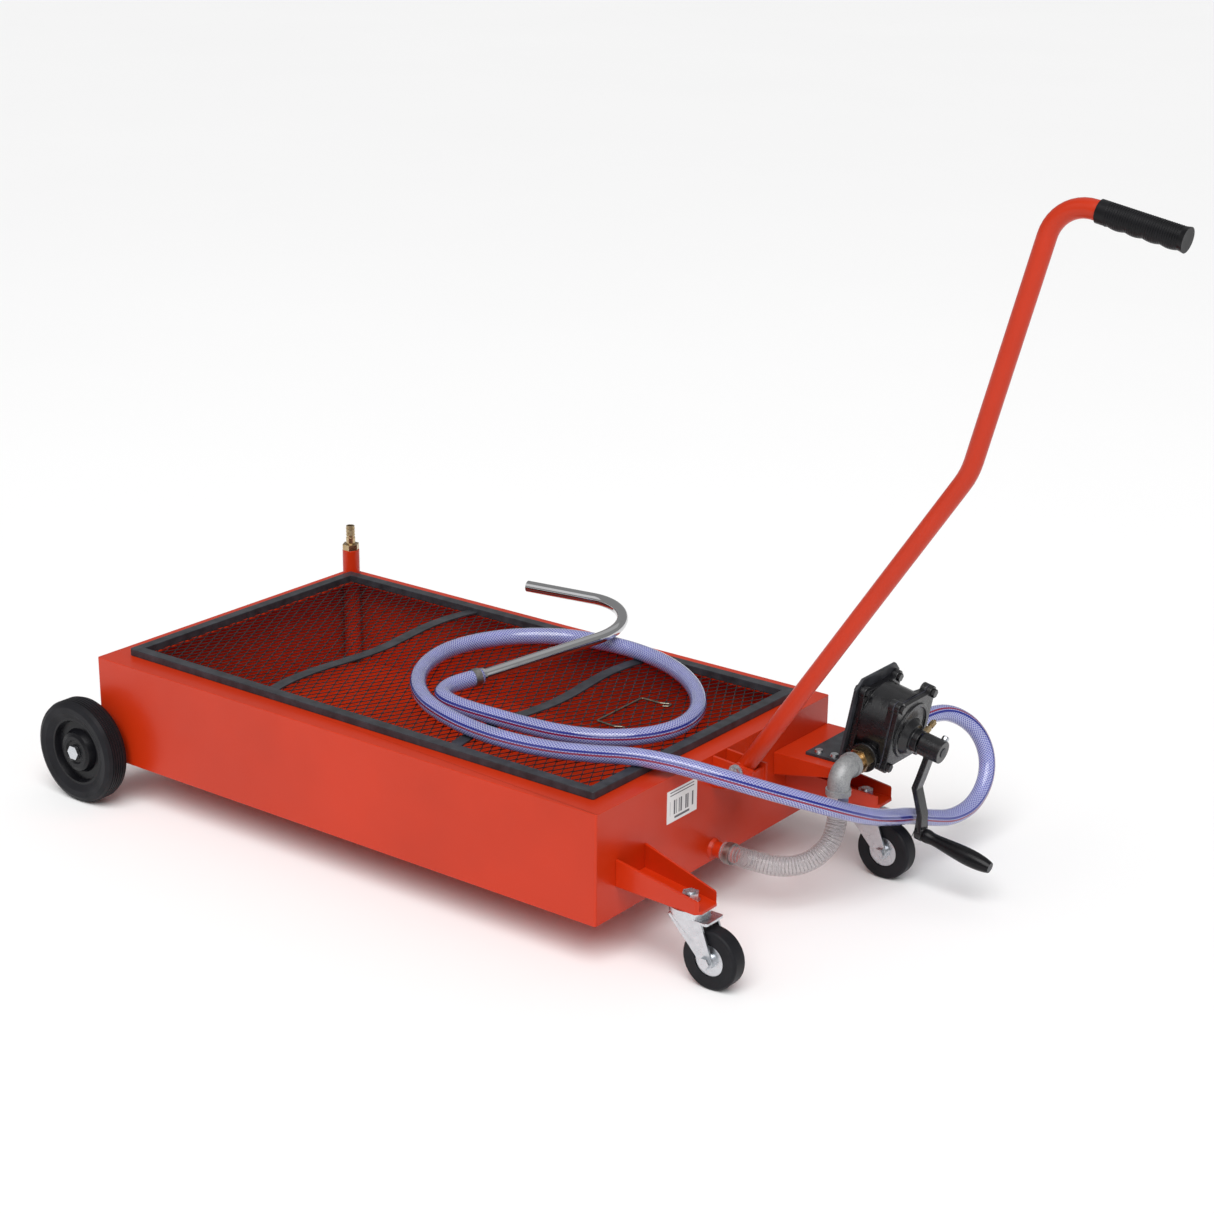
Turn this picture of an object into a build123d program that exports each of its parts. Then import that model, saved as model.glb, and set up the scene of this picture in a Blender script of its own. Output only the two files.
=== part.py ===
"""Low-profile wheeled drain tank with a grate, a hand-cranked transfer pump, hoses and a pull handle."""
import os
from math import cos, sin, tan, radians, pi

from build123d import *

os.makedirs("parts", exist_ok=True)

# ---------------------------------------------------------------- driving dimensions (mm)
TANK_X = -235.75           # tank centre, so that the origin is under the middle of the whole object
TANK_L = 850.0
TANK_W = 500.0
TANK_H = 143.0
TANK_Z = 57.5              # underside of the tank above the floor
SHEET = 2.5
RIM_W = 46.0               # width of the folded rim, the grate rests on its inner part

GRATE_L = 792.0
GRATE_W = 436.0
GRATE_BAR_W = 15.0
GRATE_BAR_H = 10.0
MESH_T = 2.0
MESH_LIFT = 0.5
CROSSBAR_W = 17.0
CROSSBAR_T = 2.5

REAR_WHEEL_R = 72.0
REAR_WHEEL_W = 36.0
REAR_WHEEL_GAP = 8.0       # from the tank wall to the wheel
AXLE_R = 6.0
AXLE_TUBE_R = 10.2
RUN_FIT = 0.05             # radial clearance of a running fit

CASTER_X = 520.0           # swivel axis, from the tank centre
CASTER_Y = 193.0
CASTER_R = 37.5
CASTER_W = 23.0
CASTER_TRAIL = 35.0
ARM_T = 4.0
ARM_Z = 96.5
KINGPIN_R = 6.0

HANDLE_TUBE_R = 11.0
PIVOT_X = 461.0
PIVOT_Z = 187.0
BRACKET_GAP = 26.0
PLATE_T = 4.0

PUMP_X = 523.4             # middle of the housing where it is bolted to its bracket
PUMP_Y = 191.0
PUMP_Z = 219.5
PUMP_TILT = 11.0
COVER_FACE = 59.0          # front face of the pump cover along the pump axis
SHAFT_DROP = 9.5           # the shaft sits this far below the middle of the housing
CRANK_R = 118.0
IN_DROP = 37.5             # the inlet sits this far below the middle of the housing
OUT_DROP = 26.5            # and the outlet
PORT_K = 29.0              # both this far along the pump axis

HOSE_R = 11.0
SUCTION_R = 13.0
SUCTION_BORE = 10.2
SPOUT_R = 8.0

# ---------------------------------------------------------------- derived places
RIM_Z = TANK_Z + TANK_H
WALL_X = TANK_X + TANK_L / 2                  # outside of the front wall
BACK_X = TANK_X - TANK_L / 2
MESH_Z = RIM_Z + MESH_LIFT
MESH_TOP = MESH_Z + MESH_T
BAR_TOP = MESH_TOP + CROSSBAR_T
AXLE_X = BACK_X - AXLE_TUBE_R
AXLE_Z = REAR_WHEEL_R
HOSE_Z = BAR_TOP + HOSE_R + 0.2               # hose centre where it lies on the grate

PUMP = Plane(origin=(TANK_X + PUMP_X, PUMP_Y, PUMP_Z), x_dir=(0, 1, 0),
             z_dir=(cos(radians(PUMP_TILT)), 0, -sin(radians(PUMP_TILT))))
SHAFT = PUMP.shift_origin(PUMP.from_local_coords(Vector(0, -SHAFT_DROP, 0)))
INLET = PUMP.from_local_coords(Vector(0, -IN_DROP, PORT_K))
OUTLET = PUMP.from_local_coords(Vector(0, -OUT_DROP, PORT_K))
PUMP_IN = Plane(origin=INLET, x_dir=(1, 0, 0), z_dir=(0, -1, 0))
PUMP_OUT = Plane(origin=OUTLET, x_dir=(-1, 0, 0), z_dir=(0, 1, 0))


def tx(x):
    """X in the part's frame of a distance from the tank's centre."""
    return TANK_X + x


def save(part, name):
    part.label = name
    export_step(part, f"parts/{name}.step")
    box = part.bounding_box()
    print(f"{name:26s} {part.volume:12.0f} mm3  solids {len(part.solids())}"
          f"  x {box.min.X:7.1f} {box.max.X:7.1f}  y {box.min.Y:7.1f} {box.max.Y:7.1f}"
          f"  z {box.min.Z:6.1f} {box.max.Z:6.1f}")


def bend_radii(points):
    """Arc radius at each inner point of a route: 0.45 of the shorter run over tan(half the turn)."""
    radii = []
    for i in range(1, len(points) - 1):
        before = Vector(points[i]) - Vector(points[i - 1])
        after = Vector(points[i + 1]) - Vector(points[i])
        turn = before.get_angle(after)
        radii.append(0.45 * min(before.length, after.length) / tan(radians(turn / 2)))
    return radii


# ================================================================ tank
with BuildPart() as tank_pan:
    with BuildSketch(Plane.XY.offset(TANK_Z)):
        with Locations((TANK_X, 0)):
            RectangleRounded(TANK_L, TANK_W, 3)
    extrude(amount=TANK_H)
    with BuildSketch(Plane.XY.offset(TANK_Z + SHEET)):
        with Locations((TANK_X, 0)):
            Rectangle(TANK_L - 2 * SHEET, TANK_W - 2 * SHEET)
    extrude(amount=TANK_H - 2 * SHEET, mode=Mode.SUBTRACT)
    with BuildSketch(Plane.XY.offset(RIM_Z - SHEET)):
        with Locations((TANK_X, 0)):
            Rectangle(TANK_L - 2 * RIM_W, TANK_W - 2 * RIM_W)
    extrude(amount=SHEET, mode=Mode.SUBTRACT)
    RISER = (tx(-408), 233)
    RISER_R = 12.5
    with BuildSketch(Plane.XY.offset(RIM_Z - SHEET)):
        with Locations(RISER):
            Circle(RISER_R)
    extrude(amount=SHEET, mode=Mode.SUBTRACT)
    DRAIN = Plane(origin=(WALL_X - SHEET, -10, 74), x_dir=(0, 1, 0), z_dir=(1, 0, 0))
    with BuildSketch(DRAIN):
        Circle(SUCTION_BORE)
    extrude(amount=SHEET, mode=Mode.SUBTRACT)
save(tank_pan.part, "tank_pan")

# the drain stub is welded into the wall and the clear hose is pushed over it
STUB_END = WALL_X + 35
with BuildPart() as drain_stub:
    with BuildSketch(DRAIN):
        Circle(SUCTION_BORE)
        Circle(7.5, mode=Mode.SUBTRACT)
    extrude(amount=STUB_END - WALL_X + SHEET)
    with BuildSketch(DRAIN.offset(SHEET)):
        Circle(SUCTION_BORE + 3.5)
    extrude(amount=5, taper=25)
    with BuildSketch(DRAIN):
        Circle(7.5)
    extrude(amount=20, mode=Mode.SUBTRACT)
save(drain_stub.part, "drain_stub")

RISER_TOP = 238.5
with BuildPart() as riser_pipe:
    with BuildSketch(Plane.XY.offset(TANK_Z + SHEET + 6)):
        with Locations(RISER):
            Circle(RISER_R)
            Circle(RISER_R - 2.6, mode=Mode.SUBTRACT)
    extrude(amount=RISER_TOP - TANK_Z - SHEET - 6)
save(riser_pipe.part, "riser_pipe")

BARB_R = 6.75
BARB_TOP = RISER_TOP + 37.0
with BuildPart() as riser_hose_barb:
    with BuildSketch(Plane.XY.offset(RISER_TOP)):
        with Locations(RISER):
            RegularPolygon(11, 6, major_radius=False)
    extrude(amount=9)
    with BuildSketch(Plane.XY.offset(RISER_TOP - 12)):
        with Locations(RISER):
            Circle(RISER_R - 2.6)
    extrude(amount=12)
    with BuildSketch(Plane.XY.offset(RISER_TOP + 9)):
        with Locations(RISER):
            Circle(BARB_R - 0.8)
    extrude(amount=BARB_TOP - RISER_TOP - 9)
    with BuildSketch(Plane.XY.offset(RISER_TOP + 9)):
        with Locations(RISER):
            Circle(BARB_R)
    extrude(amount=10)
    for step in range(3):
        with BuildSketch(Plane.XY.offset(BARB_TOP - 15 + 5 * step)):
            with Locations(RISER):
                Circle(BARB_R)
        extrude(amount=4.5, taper=10)
    with BuildSketch(Plane.XY.offset(RISER_TOP - 12)):
        with Locations(RISER):
            Circle(4)
    extrude(amount=BARB_TOP - RISER_TOP + 12, mode=Mode.SUBTRACT)
save(riser_hose_barb.part, "riser_hose_barb")

with BuildPart() as label_plate:
    with BuildSketch(Plane(origin=(WALL_X, -79.5, 161), x_dir=(0, 1, 0), z_dir=(1, 0, 0))):
        Rectangle(62, 42)
    extrude(amount=0.4)
save(label_plate.part, "label_plate")

# ================================================================ grate
with BuildPart() as grate_frame:
    with BuildSketch(Plane.XY.offset(RIM_Z)):
        with Locations((TANK_X, 0)):
            RectangleRounded(GRATE_L, GRATE_W, 4)
            Rectangle(GRATE_L - 2 * GRATE_BAR_W, GRATE_W - 2 * GRATE_BAR_W, mode=Mode.SUBTRACT)
    extrude(amount=GRATE_BAR_H)
save(grate_frame.part, "grate_frame")

MESH_L = GRATE_L - 2 * GRATE_BAR_W
MESH_W = GRATE_W - 2 * GRATE_BAR_W
with BuildPart() as grate_mesh:
    with BuildSketch(Plane.XY.offset(MESH_Z)):
        with Locations((TANK_X, 0)):
            Rectangle(MESH_L, MESH_W)
    extrude(amount=MESH_T)
save(grate_mesh.part, "grate_mesh")

# each cross bar is a flat strip that wanders a little, like the bent strip it is
with BuildPart() as grate_crossbars:
    for bar_x in (-146, 165):
        with BuildSketch(Plane.XY.offset(MESH_TOP)):
            with BuildLine():
                half = MESH_W / 2
                left = tx(bar_x) - CROSSBAR_W / 2
                right = tx(bar_x) + CROSSBAR_W / 2
                wave = [(2, -half), (-6, -half / 2), (4, 0), (-7, half / 2), (1, half)]
                west = Spline(*[(left + dx, y) for dx, y in wave])
                north = Line((left + 1, half), (right + 1, half))
                east = Spline(*[(right + dx, y) for dx, y in reversed(wave)])
                south = Line((right + 2, -half), (left + 2, -half))
            make_face()
        extrude(amount=CROSSBAR_T)
save(grate_crossbars.part, "grate_crossbars")

# ================================================================ rear wheels
WHEEL_IN = TANK_W / 2 + REAR_WHEEL_GAP
WHEEL_OUT = WHEEL_IN + REAR_WHEEL_W
AXLE_PLANE = Plane(origin=(AXLE_X, 0, AXLE_Z), x_dir=(1, 0, 0), z_dir=(0, -1, 0))

with BuildPart() as rear_axle_tube:
    with BuildSketch(AXLE_PLANE):
        Circle(AXLE_TUBE_R)
        Circle(AXLE_R + 0.2, mode=Mode.SUBTRACT)
    extrude(amount=TANK_W / 2 - 1, both=True)
save(rear_axle_tube.part, "rear_axle_tube")

CAP_Y = WHEEL_OUT - 5
with BuildPart() as rear_axle:
    with BuildSketch(AXLE_PLANE):
        Circle(AXLE_R)
    extrude(amount=CAP_Y + 2, both=True)
save(rear_axle.part, "rear_axle")

with BuildPart() as rear_axle_washers:
    for side in (1, -1):
        with BuildSketch(AXLE_PLANE.offset(side * (TANK_W / 2 + 1))):
            Circle(14)
            Circle(AXLE_R, mode=Mode.SUBTRACT)
        extrude(amount=side * (REAR_WHEEL_GAP - 2))
save(rear_axle_washers.part, "rear_axle_washers")

with BuildPart() as rear_axle_caps:
    for side in (1, -1):
        with BuildSketch(AXLE_PLANE.offset(side * (CAP_Y + 0.5))):
            RegularPolygon(9, 6, major_radius=False)
            Circle(AXLE_R, mode=Mode.SUBTRACT)
        extrude(amount=side * 5)
        with BuildSketch(AXLE_PLANE.offset(side * (CAP_Y + 2))):
            Circle(AXLE_R)
        extrude(amount=side * 3.5)
save(rear_axle_caps.part, "rear_axle_caps")


def wheel_half(points, side):
    """Closed profile in the plane through the axle: (radius, distance out from the tank)."""
    return [(AXLE_X + r, side * y) for r, y in points]


GROOVES = 5
HUB_R = 47.0
for side, name in ((-1, "right"), (1, "left")):
    with BuildPart() as rear_tyre:
        with BuildSketch(Plane.XY.offset(AXLE_Z)):
            with BuildLine():
                outline = [(HUB_R, WHEEL_IN + 6), (56, WHEEL_IN + 1), (64, WHEEL_IN),
                           (70, WHEEL_IN + 3), (REAR_WHEEL_R, WHEEL_IN + 8)]
                pitch = (REAR_WHEEL_W - 16) / GROOVES
                for rib in range(GROOVES):
                    y = WHEEL_IN + 8 + pitch * rib
                    outline += [(REAR_WHEEL_R, y + pitch * 0.6), (REAR_WHEEL_R - 1.3, y + pitch * 0.7),
                                (REAR_WHEEL_R - 1.3, y + pitch * 0.9), (REAR_WHEEL_R, y + pitch)]
                outline += [(70, WHEEL_OUT - 3), (64, WHEEL_OUT), (56, WHEEL_OUT - 1), (HUB_R, WHEEL_OUT - 6)]
                Polyline(*wheel_half(outline, side), close=True)
            make_face()
        revolve(axis=Axis((AXLE_X, 0, AXLE_Z), (0, 1, 0)))
    save(rear_tyre.part, f"rear_tyre_{name}")

    with BuildPart() as rear_hub:
        with BuildSketch(Plane.XY.offset(AXLE_Z)):
            with BuildLine():
                web_out = WHEEL_OUT - 14
                web_in = WHEEL_IN + 10
                outline = [(AXLE_R + RUN_FIT, WHEEL_IN), (18, WHEEL_IN), (22, web_in), (40, web_in),
                           (HUB_R - 3, WHEEL_IN + 6), (HUB_R, WHEEL_IN + 6), (HUB_R, WHEEL_OUT - 6),
                           (HUB_R - 3, WHEEL_OUT - 6), (41, web_out), (31, web_out), (27, WHEEL_OUT - 5),
                           (22, WHEEL_OUT - 3), (17, WHEEL_OUT - 3), (15, WHEEL_OUT - 5.2),
                           (AXLE_R + RUN_FIT, WHEEL_OUT - 5.2)]
                Polyline(*wheel_half(outline, side), close=True)
            make_face()
        revolve(axis=Axis((AXLE_X, 0, AXLE_Z), (0, 1, 0)))
    save(rear_hub.part, f"rear_hub_{name}")

# ================================================================ front casters
ARM_ROOT = (150.0, 212.0)     # inner and outer side of the arm at the tank wall
ARM_TIP = (176.0, 217.0)      # and at its tip
ARM_TIP_X = 549.0
ARM_ROOT_H = 34.5
ARM_TIP_H = 16.0
RACE_R = 25.0
FORK_TOP = 88.5
FORK_T = 3.0
FORK_IN = 14.5                # half of the gap between the fork's legs

for side, name in ((-1, "right"), (1, "left")):
    with BuildPart() as caster_arm:
        with BuildSketch(Plane.XY.offset(ARM_Z)):
            with BuildLine():
                Polyline((WALL_X, side * ARM_ROOT[0]), (WALL_X, side * ARM_ROOT[1]),
                         (tx(ARM_TIP_X - 6), side * ARM_TIP[1]), (tx(ARM_TIP_X), side * (ARM_TIP[1] - 7)),
                         (tx(ARM_TIP_X), side * (ARM_TIP[0] + 5)), (tx(ARM_TIP_X - 5), side * ARM_TIP[0]),
                         close=True)
            make_face()
        extrude(amount=ARM_ROOT_H)
        with BuildSketch(Plane.XY.offset(ARM_Z + ARM_T)):
            with BuildLine():
                Polyline((WALL_X, side * (ARM_ROOT[0] + ARM_T)), (WALL_X, side * (ARM_ROOT[1] - ARM_T)),
                         (tx(ARM_TIP_X + 2), side * (ARM_TIP[1] - ARM_T)),
                         (tx(ARM_TIP_X + 2), side * (ARM_TIP[0] + ARM_T)), close=True)
            make_face()
        extrude(amount=ARM_ROOT_H, mode=Mode.SUBTRACT)
        with BuildSketch(Plane.XZ.offset(-side * 100)):
            with BuildLine():
                Polyline((WALL_X, ARM_Z + ARM_ROOT_H), (tx(ARM_TIP_X + 1), ARM_Z + ARM_TIP_H),
                         (tx(ARM_TIP_X + 1), ARM_Z + ARM_ROOT_H + 1), (WALL_X, ARM_Z + ARM_ROOT_H + 1), close=True)
            make_face()
        extrude(amount=-side * 200, mode=Mode.SUBTRACT)
        with BuildSketch(Plane.XY.offset(ARM_Z)):
            with Locations((tx(CASTER_X), side * CASTER_Y)):
                Circle(KINGPIN_R)
        extrude(amount=ARM_T, mode=Mode.SUBTRACT)
    save(caster_arm.part, f"caster_arm_{name}")

    with BuildPart() as caster_fork:
        with BuildSketch(Plane.XY.offset(FORK_TOP - 3)):
            with Locations((tx(CASTER_X), side * CASTER_Y)):
                Circle(RACE_R - 1.5)
                Circle(KINGPIN_R + RUN_FIT, mode=Mode.SUBTRACT)
        extrude(amount=4.4)
        with BuildSketch(Plane.XY.offset(FORK_TOP - 6)):
            with Locations((tx(CASTER_X + 8), side * CASTER_Y)):
                RectangleRounded(56, 2 * (FORK_IN + FORK_T), 4)
            with Locations((tx(CASTER_X), side * CASTER_Y)):
                Circle(KINGPIN_R + RUN_FIT, mode=Mode.SUBTRACT)
        extrude(amount=3.4)
        for leg in (1, -1):
            with BuildSketch(Plane.XZ.offset(-(side * CASTER_Y + leg * FORK_IN))):
                with BuildLine():
                    Polyline((tx(CASTER_X - 20), FORK_TOP - 4), (tx(CASTER_X + 27), FORK_TOP - 4),
                             (tx(CASTER_X + CASTER_TRAIL + 8), CASTER_R + 4),
                             (tx(CASTER_X + CASTER_TRAIL - 8), CASTER_R - 2), close=True)
                make_face()
                with Locations((tx(CASTER_X + CASTER_TRAIL), CASTER_R)):
                    Circle(9)
                    Circle(4, mode=Mode.SUBTRACT)
            extrude(amount=-leg * FORK_T)
    save(caster_fork.part, f"caster_fork_{name}")

    WHEEL_PLANE = Plane(origin=(tx(CASTER_X + CASTER_TRAIL), side * CASTER_Y, CASTER_R),
                        x_dir=(1, 0, 0), z_dir=(0, -1, 0))
    with BuildPart() as caster_tyre:
        with BuildSketch(WHEEL_PLANE):
            Circle(CASTER_R)
            Circle(20, mode=Mode.SUBTRACT)
        extrude(amount=CASTER_W / 2, both=True)
        fillet(caster_tyre.edges().filter_by(GeomType.CIRCLE).group_by(SortBy.RADIUS)[-1], radius=4)
    save(caster_tyre.part, f"caster_tyre_{name}")

    with BuildPart() as caster_hub:
        with BuildSketch(WHEEL_PLANE):
            Circle(20)
        extrude(amount=CASTER_W / 2 - 1.5, both=True)
        with BuildSketch(WHEEL_PLANE):
            Circle(9)
        extrude(amount=FORK_IN - 0.6, both=True)
        with BuildSketch(WHEEL_PLANE):
            Circle(4 + RUN_FIT)
        extrude(amount=FORK_IN + 1, both=True, mode=Mode.SUBTRACT)
    save(caster_hub.part, f"caster_hub_{name}")

    with BuildPart() as caster_axle:
        leg_out = FORK_IN + FORK_T
        with BuildSketch(WHEEL_PLANE):
            Circle(4)
        extrude(amount=leg_out, both=True)
        for end in (1, -1):
            with BuildSketch(WHEEL_PLANE.offset(end * leg_out)):
                RegularPolygon(6.5, 6, major_radius=False)
            extrude(amount=end * 4.5)
    save(caster_axle.part, f"caster_axle_{name}")

with BuildPart() as caster_top_races:
    for side in (1, -1):
        with BuildSketch(Plane.XY.offset(FORK_TOP + 1.8)):
            with Locations((tx(CASTER_X), side * CASTER_Y)):
                Circle(RACE_R)
                Circle(KINGPIN_R, mode=Mode.SUBTRACT)
        extrude(amount=ARM_Z - FORK_TOP - 1.8)
save(caster_top_races.part, "caster_top_races")

with BuildPart() as caster_kingpins:
    for side in (1, -1):
        with Locations((tx(CASTER_X), side * CASTER_Y)):
            with BuildSketch(Plane.XY.offset(FORK_TOP - 11)):
                with Locations((tx(CASTER_X), side * CASTER_Y)):
                    RegularPolygon(9, 6, major_radius=False)
        extrude(amount=4.6)
        with BuildSketch(Plane.XY.offset(FORK_TOP - 11)):
            with Locations((tx(CASTER_X), side * CASTER_Y)):
                Circle(KINGPIN_R)
        extrude(amount=ARM_Z + ARM_T + 12.5 - FORK_TOP + 11)
save(caster_kingpins.part, "caster_kingpins")

with BuildPart() as caster_nuts:
    for side in (1, -1):
        with BuildSketch(Plane.XY.offset(ARM_Z + ARM_T)):
            with Locations((tx(CASTER_X), side * CASTER_Y)):
                Circle(11.5)
                Circle(KINGPIN_R, mode=Mode.SUBTRACT)
        extrude(amount=1.6)
        with BuildSketch(Plane.XY.offset(ARM_Z + ARM_T + 1.6)):
            with Locations((tx(CASTER_X), side * CASTER_Y)):
                RegularPolygon(9.3, 6, major_radius=False)
                Circle(KINGPIN_R, mode=Mode.SUBTRACT)
        extrude(amount=9)
save(caster_nuts.part, "caster_nuts")

# ================================================================ pull handle
PIVOT = Plane(origin=(tx(PIVOT_X), 0, PIVOT_Z), x_dir=(1, 0, 0), z_dir=(0, -1, 0))
BRACKET_OUT = BRACKET_GAP / 2 + PLATE_T
BOLT_R = 5.0
with BuildPart() as handle_bracket:
    for side in (1, -1):
        with BuildSketch(Plane.XZ.offset(-side * BRACKET_GAP / 2)):
            with BuildLine():
                Polyline((WALL_X, 158), (WALL_X, 199.5), (tx(484), 195), (tx(484), 170), (tx(470), 164), close=True)
            make_face()
            with Locations((tx(PIVOT_X), PIVOT_Z)):
                Circle(BOLT_R, mode=Mode.SUBTRACT)
        extrude(amount=-side * PLATE_T)
    with BuildSketch(Plane.XZ):
        with BuildLine():
            Polyline((tx(476), 167), (tx(480), 169), (tx(480), 189), (tx(476), 189), close=True)
        make_face()
    extrude(amount=BRACKET_GAP / 2, both=True)
save(handle_bracket.part, "handle_bracket")

with BuildPart() as handle_pivot_bolt:
    with BuildSketch(PIVOT):
        Circle(BOLT_R)
    extrude(amount=BRACKET_OUT, both=True)
    with BuildSketch(PIVOT.offset(BRACKET_OUT)):
        Circle(10.5)
    extrude(amount=1.5)
    with BuildSketch(PIVOT.offset(BRACKET_OUT + 1.5)):
        RegularPolygon(8, 6, major_radius=False)
    extrude(amount=6.5)
    with BuildSketch(PIVOT.offset(-BRACKET_OUT)):
        Circle(BOLT_R)
    extrude(amount=-10)
save(handle_pivot_bolt.part, "handle_pivot_bolt")

with BuildPart() as handle_pivot_nut:
    with BuildSketch(PIVOT.offset(-BRACKET_OUT)):
        RegularPolygon(8, 6, major_radius=False)
        Circle(BOLT_R, mode=Mode.SUBTRACT)
    extrude(amount=-8)
save(handle_pivot_nut.part, "handle_pivot_nut")

# the tube's route in its own upright plane: pivot, lower bend, top bend, grip end
LOWER_BEND = (746.0, 611.0)
TOP_BEND = (830.7, 922.8)
TUBE_END = (966.0, 897.5)
GRIP_FROM_BEND = 47.2      # the grip starts this far along the last run of the tube
GRIP_RUN = 100.6
SLEEVE_R = 10.5
with BuildPart() as handle_tube:
    with BuildLine():
        route = FilletPolyline((tx(PIVOT_X), 0, PIVOT_Z), (tx(LOWER_BEND[0]), 0, LOWER_BEND[1]),
                               (tx(TOP_BEND[0]), 0, TOP_BEND[1]), (tx(TUBE_END[0]), 0, TUBE_END[1]),
                               radius=[95, 46])
    with BuildSketch(Plane(origin=route @ 0, z_dir=route % 0)):
        Circle(HANDLE_TUBE_R)
        Circle(HANDLE_TUBE_R - 2, mode=Mode.SUBTRACT)
    sweep(path=route)
    with BuildSketch(PIVOT):
        Circle(SLEEVE_R)
    extrude(amount=BRACKET_GAP / 2 - 0.3, both=True)
    with BuildSketch(PIVOT):
        Circle(BOLT_R + RUN_FIT)
    extrude(amount=BRACKET_GAP, both=True, mode=Mode.SUBTRACT)
save(handle_tube.part, "handle_tube")

last_run = Vector(TUBE_END[0] - TOP_BEND[0], 0, TUBE_END[1] - TOP_BEND[1])
grip_start = Vector(tx(TOP_BEND[0]), 0, TOP_BEND[1]) + last_run.normalized() * GRIP_FROM_BEND
GRIP = Plane(origin=grip_start, x_dir=(0, 1, 0), z_dir=last_run.normalized())
tube_in_grip = last_run.length - GRIP_FROM_BEND
FINGER = 18.0
with BuildPart() as handle_grip:
    with BuildSketch(GRIP):
        Circle(13.4)
    extrude(amount=GRIP_RUN)
    with BuildSketch(GRIP):
        Circle(14.6)
    extrude(amount=4)
    with BuildSketch(GRIP.offset(GRIP_RUN - 4)):
        Circle(14.6)
    extrude(amount=4)
    # finger rests along the underside
    for finger in range(4):
        with BuildSketch(GRIP.offset(13 + FINGER * finger)):
            with Locations((0, -1.6)):
                Circle(13.6)
        extrude(amount=FINGER - 5, taper=0)
    with BuildSketch(GRIP):
        Circle(HANDLE_TUBE_R)
    extrude(amount=tube_in_grip, mode=Mode.SUBTRACT)
save(handle_grip.part, "handle_grip")

# ================================================================ pump shelf and bracket
SHELF_Y = (121.0, 249.0)
SHELF_TOP = 161.0
SHELF_END = 524.0
with BuildPart() as pump_shelf:
    with BuildSketch(Plane.XZ.offset(-SHELF_Y[0])):
        with BuildLine():
            Polyline((WALL_X, SHELF_TOP), (tx(SHELF_END), SHELF_TOP), (tx(SHELF_END), SHELF_TOP - 11),
                     (WALL_X, SHELF_TOP - 31), close=True)
        make_face()
    extrude(amount=-(SHELF_Y[1] - SHELF_Y[0]))
    with BuildSketch(Plane.XY.offset(SHELF_TOP - ARM_T)):
        with Locations((tx((TANK_L / 2 + SHELF_END) / 2), sum(SHELF_Y) / 2)):
            Rectangle(SHELF_END - TANK_L / 2 + 20, SHELF_Y[1] - SHELF_Y[0] - 2 * ARM_T)
    extrude(amount=-40, mode=Mode.SUBTRACT)
    with BuildSketch(Plane.XY.offset(SHELF_TOP)):
        with Locations(*[(tx(x), PUMP_Y + y) for x in (475, 498) for y in (-42, 42)]):
            Circle(3.2)
    extrude(amount=-ARM_T, mode=Mode.SUBTRACT)
save(pump_shelf.part, "pump_shelf")

PLATE_W = 104.0
FLANGE_W = 76.0            # lobe spacing across
FLANGE_H = 82.0            # lobe spacing up the flange
LOBE_R = 8.5
LOBES = [(sx * FLANGE_W / 2, sy * FLANGE_H / 2) for sx in (-1, 1) for sy in (-1, 1)]
with BuildPart() as pump_bracket:
    with BuildSketch(PUMP):
        with BuildLine():
            Polyline((-PLATE_W / 2, -58.5), (-PLATE_W / 2, 45), (-PLATE_W / 2 + 13, 57), (PLATE_W / 2 - 13, 57),
                     (PLATE_W / 2, 45), (PLATE_W / 2, -58.5), close=True)
        make_face()
        with Locations(*LOBES):
            Circle(3, mode=Mode.SUBTRACT)
    extrude(amount=-PLATE_T)
    with BuildSketch(Plane.XY.offset(SHELF_TOP)):
        with Locations((tx(487), PUMP_Y)):
            Rectangle(52, PLATE_W)
        with Locations(*[(tx(x), PUMP_Y + y) for x in (475, 498) for y in (-42, 42)]):
            Circle(3.2, mode=Mode.SUBTRACT)
    extrude(amount=PLATE_T)
save(pump_bracket.part, "pump_bracket")

with BuildPart() as bracket_bolts:
    for x in (475, 498):
        for y in (-42, 42):
            with BuildSketch(Plane.XY.offset(SHELF_TOP + PLATE_T)):
                with Locations((tx(x), PUMP_Y + y)):
                    Circle(6)
            extrude(amount=3.2, taper=20)
            with BuildSketch(Plane.XY.offset(SHELF_TOP + PLATE_T)):
                with Locations((tx(x), PUMP_Y + y)):
                    Circle(3.2)
            extrude(amount=-PLATE_T - ARM_T - 6)
            with BuildSketch(Plane.XY.offset(SHELF_TOP - ARM_T)):
                with Locations((tx(x), PUMP_Y + y)):
                    RegularPolygon(5, 6, major_radius=False)
            extrude(amount=-4.5)
save(bracket_bolts.part, "bracket_bolts")

# ================================================================ pump
BODY_R = 46.0
CAVITY_R = 38.0
ROTOR_R = 28.0             # nearly touches the bottom of the cavity, where the vanes are pushed right in
SHAFT_R = 6.0
BODY_END = 51.4
GASKET_T = 0.6


def flange_outline():
    """A rectangle with a round lobe at each corner, as the pump's flange and cover share."""
    Rectangle(FLANGE_W + 4, FLANGE_H + 4)
    Rectangle(FLANGE_W + 2 * LOBE_R - 4, FLANGE_H - 2)
    with Locations(*LOBES):
        Circle(LOBE_R)


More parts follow.
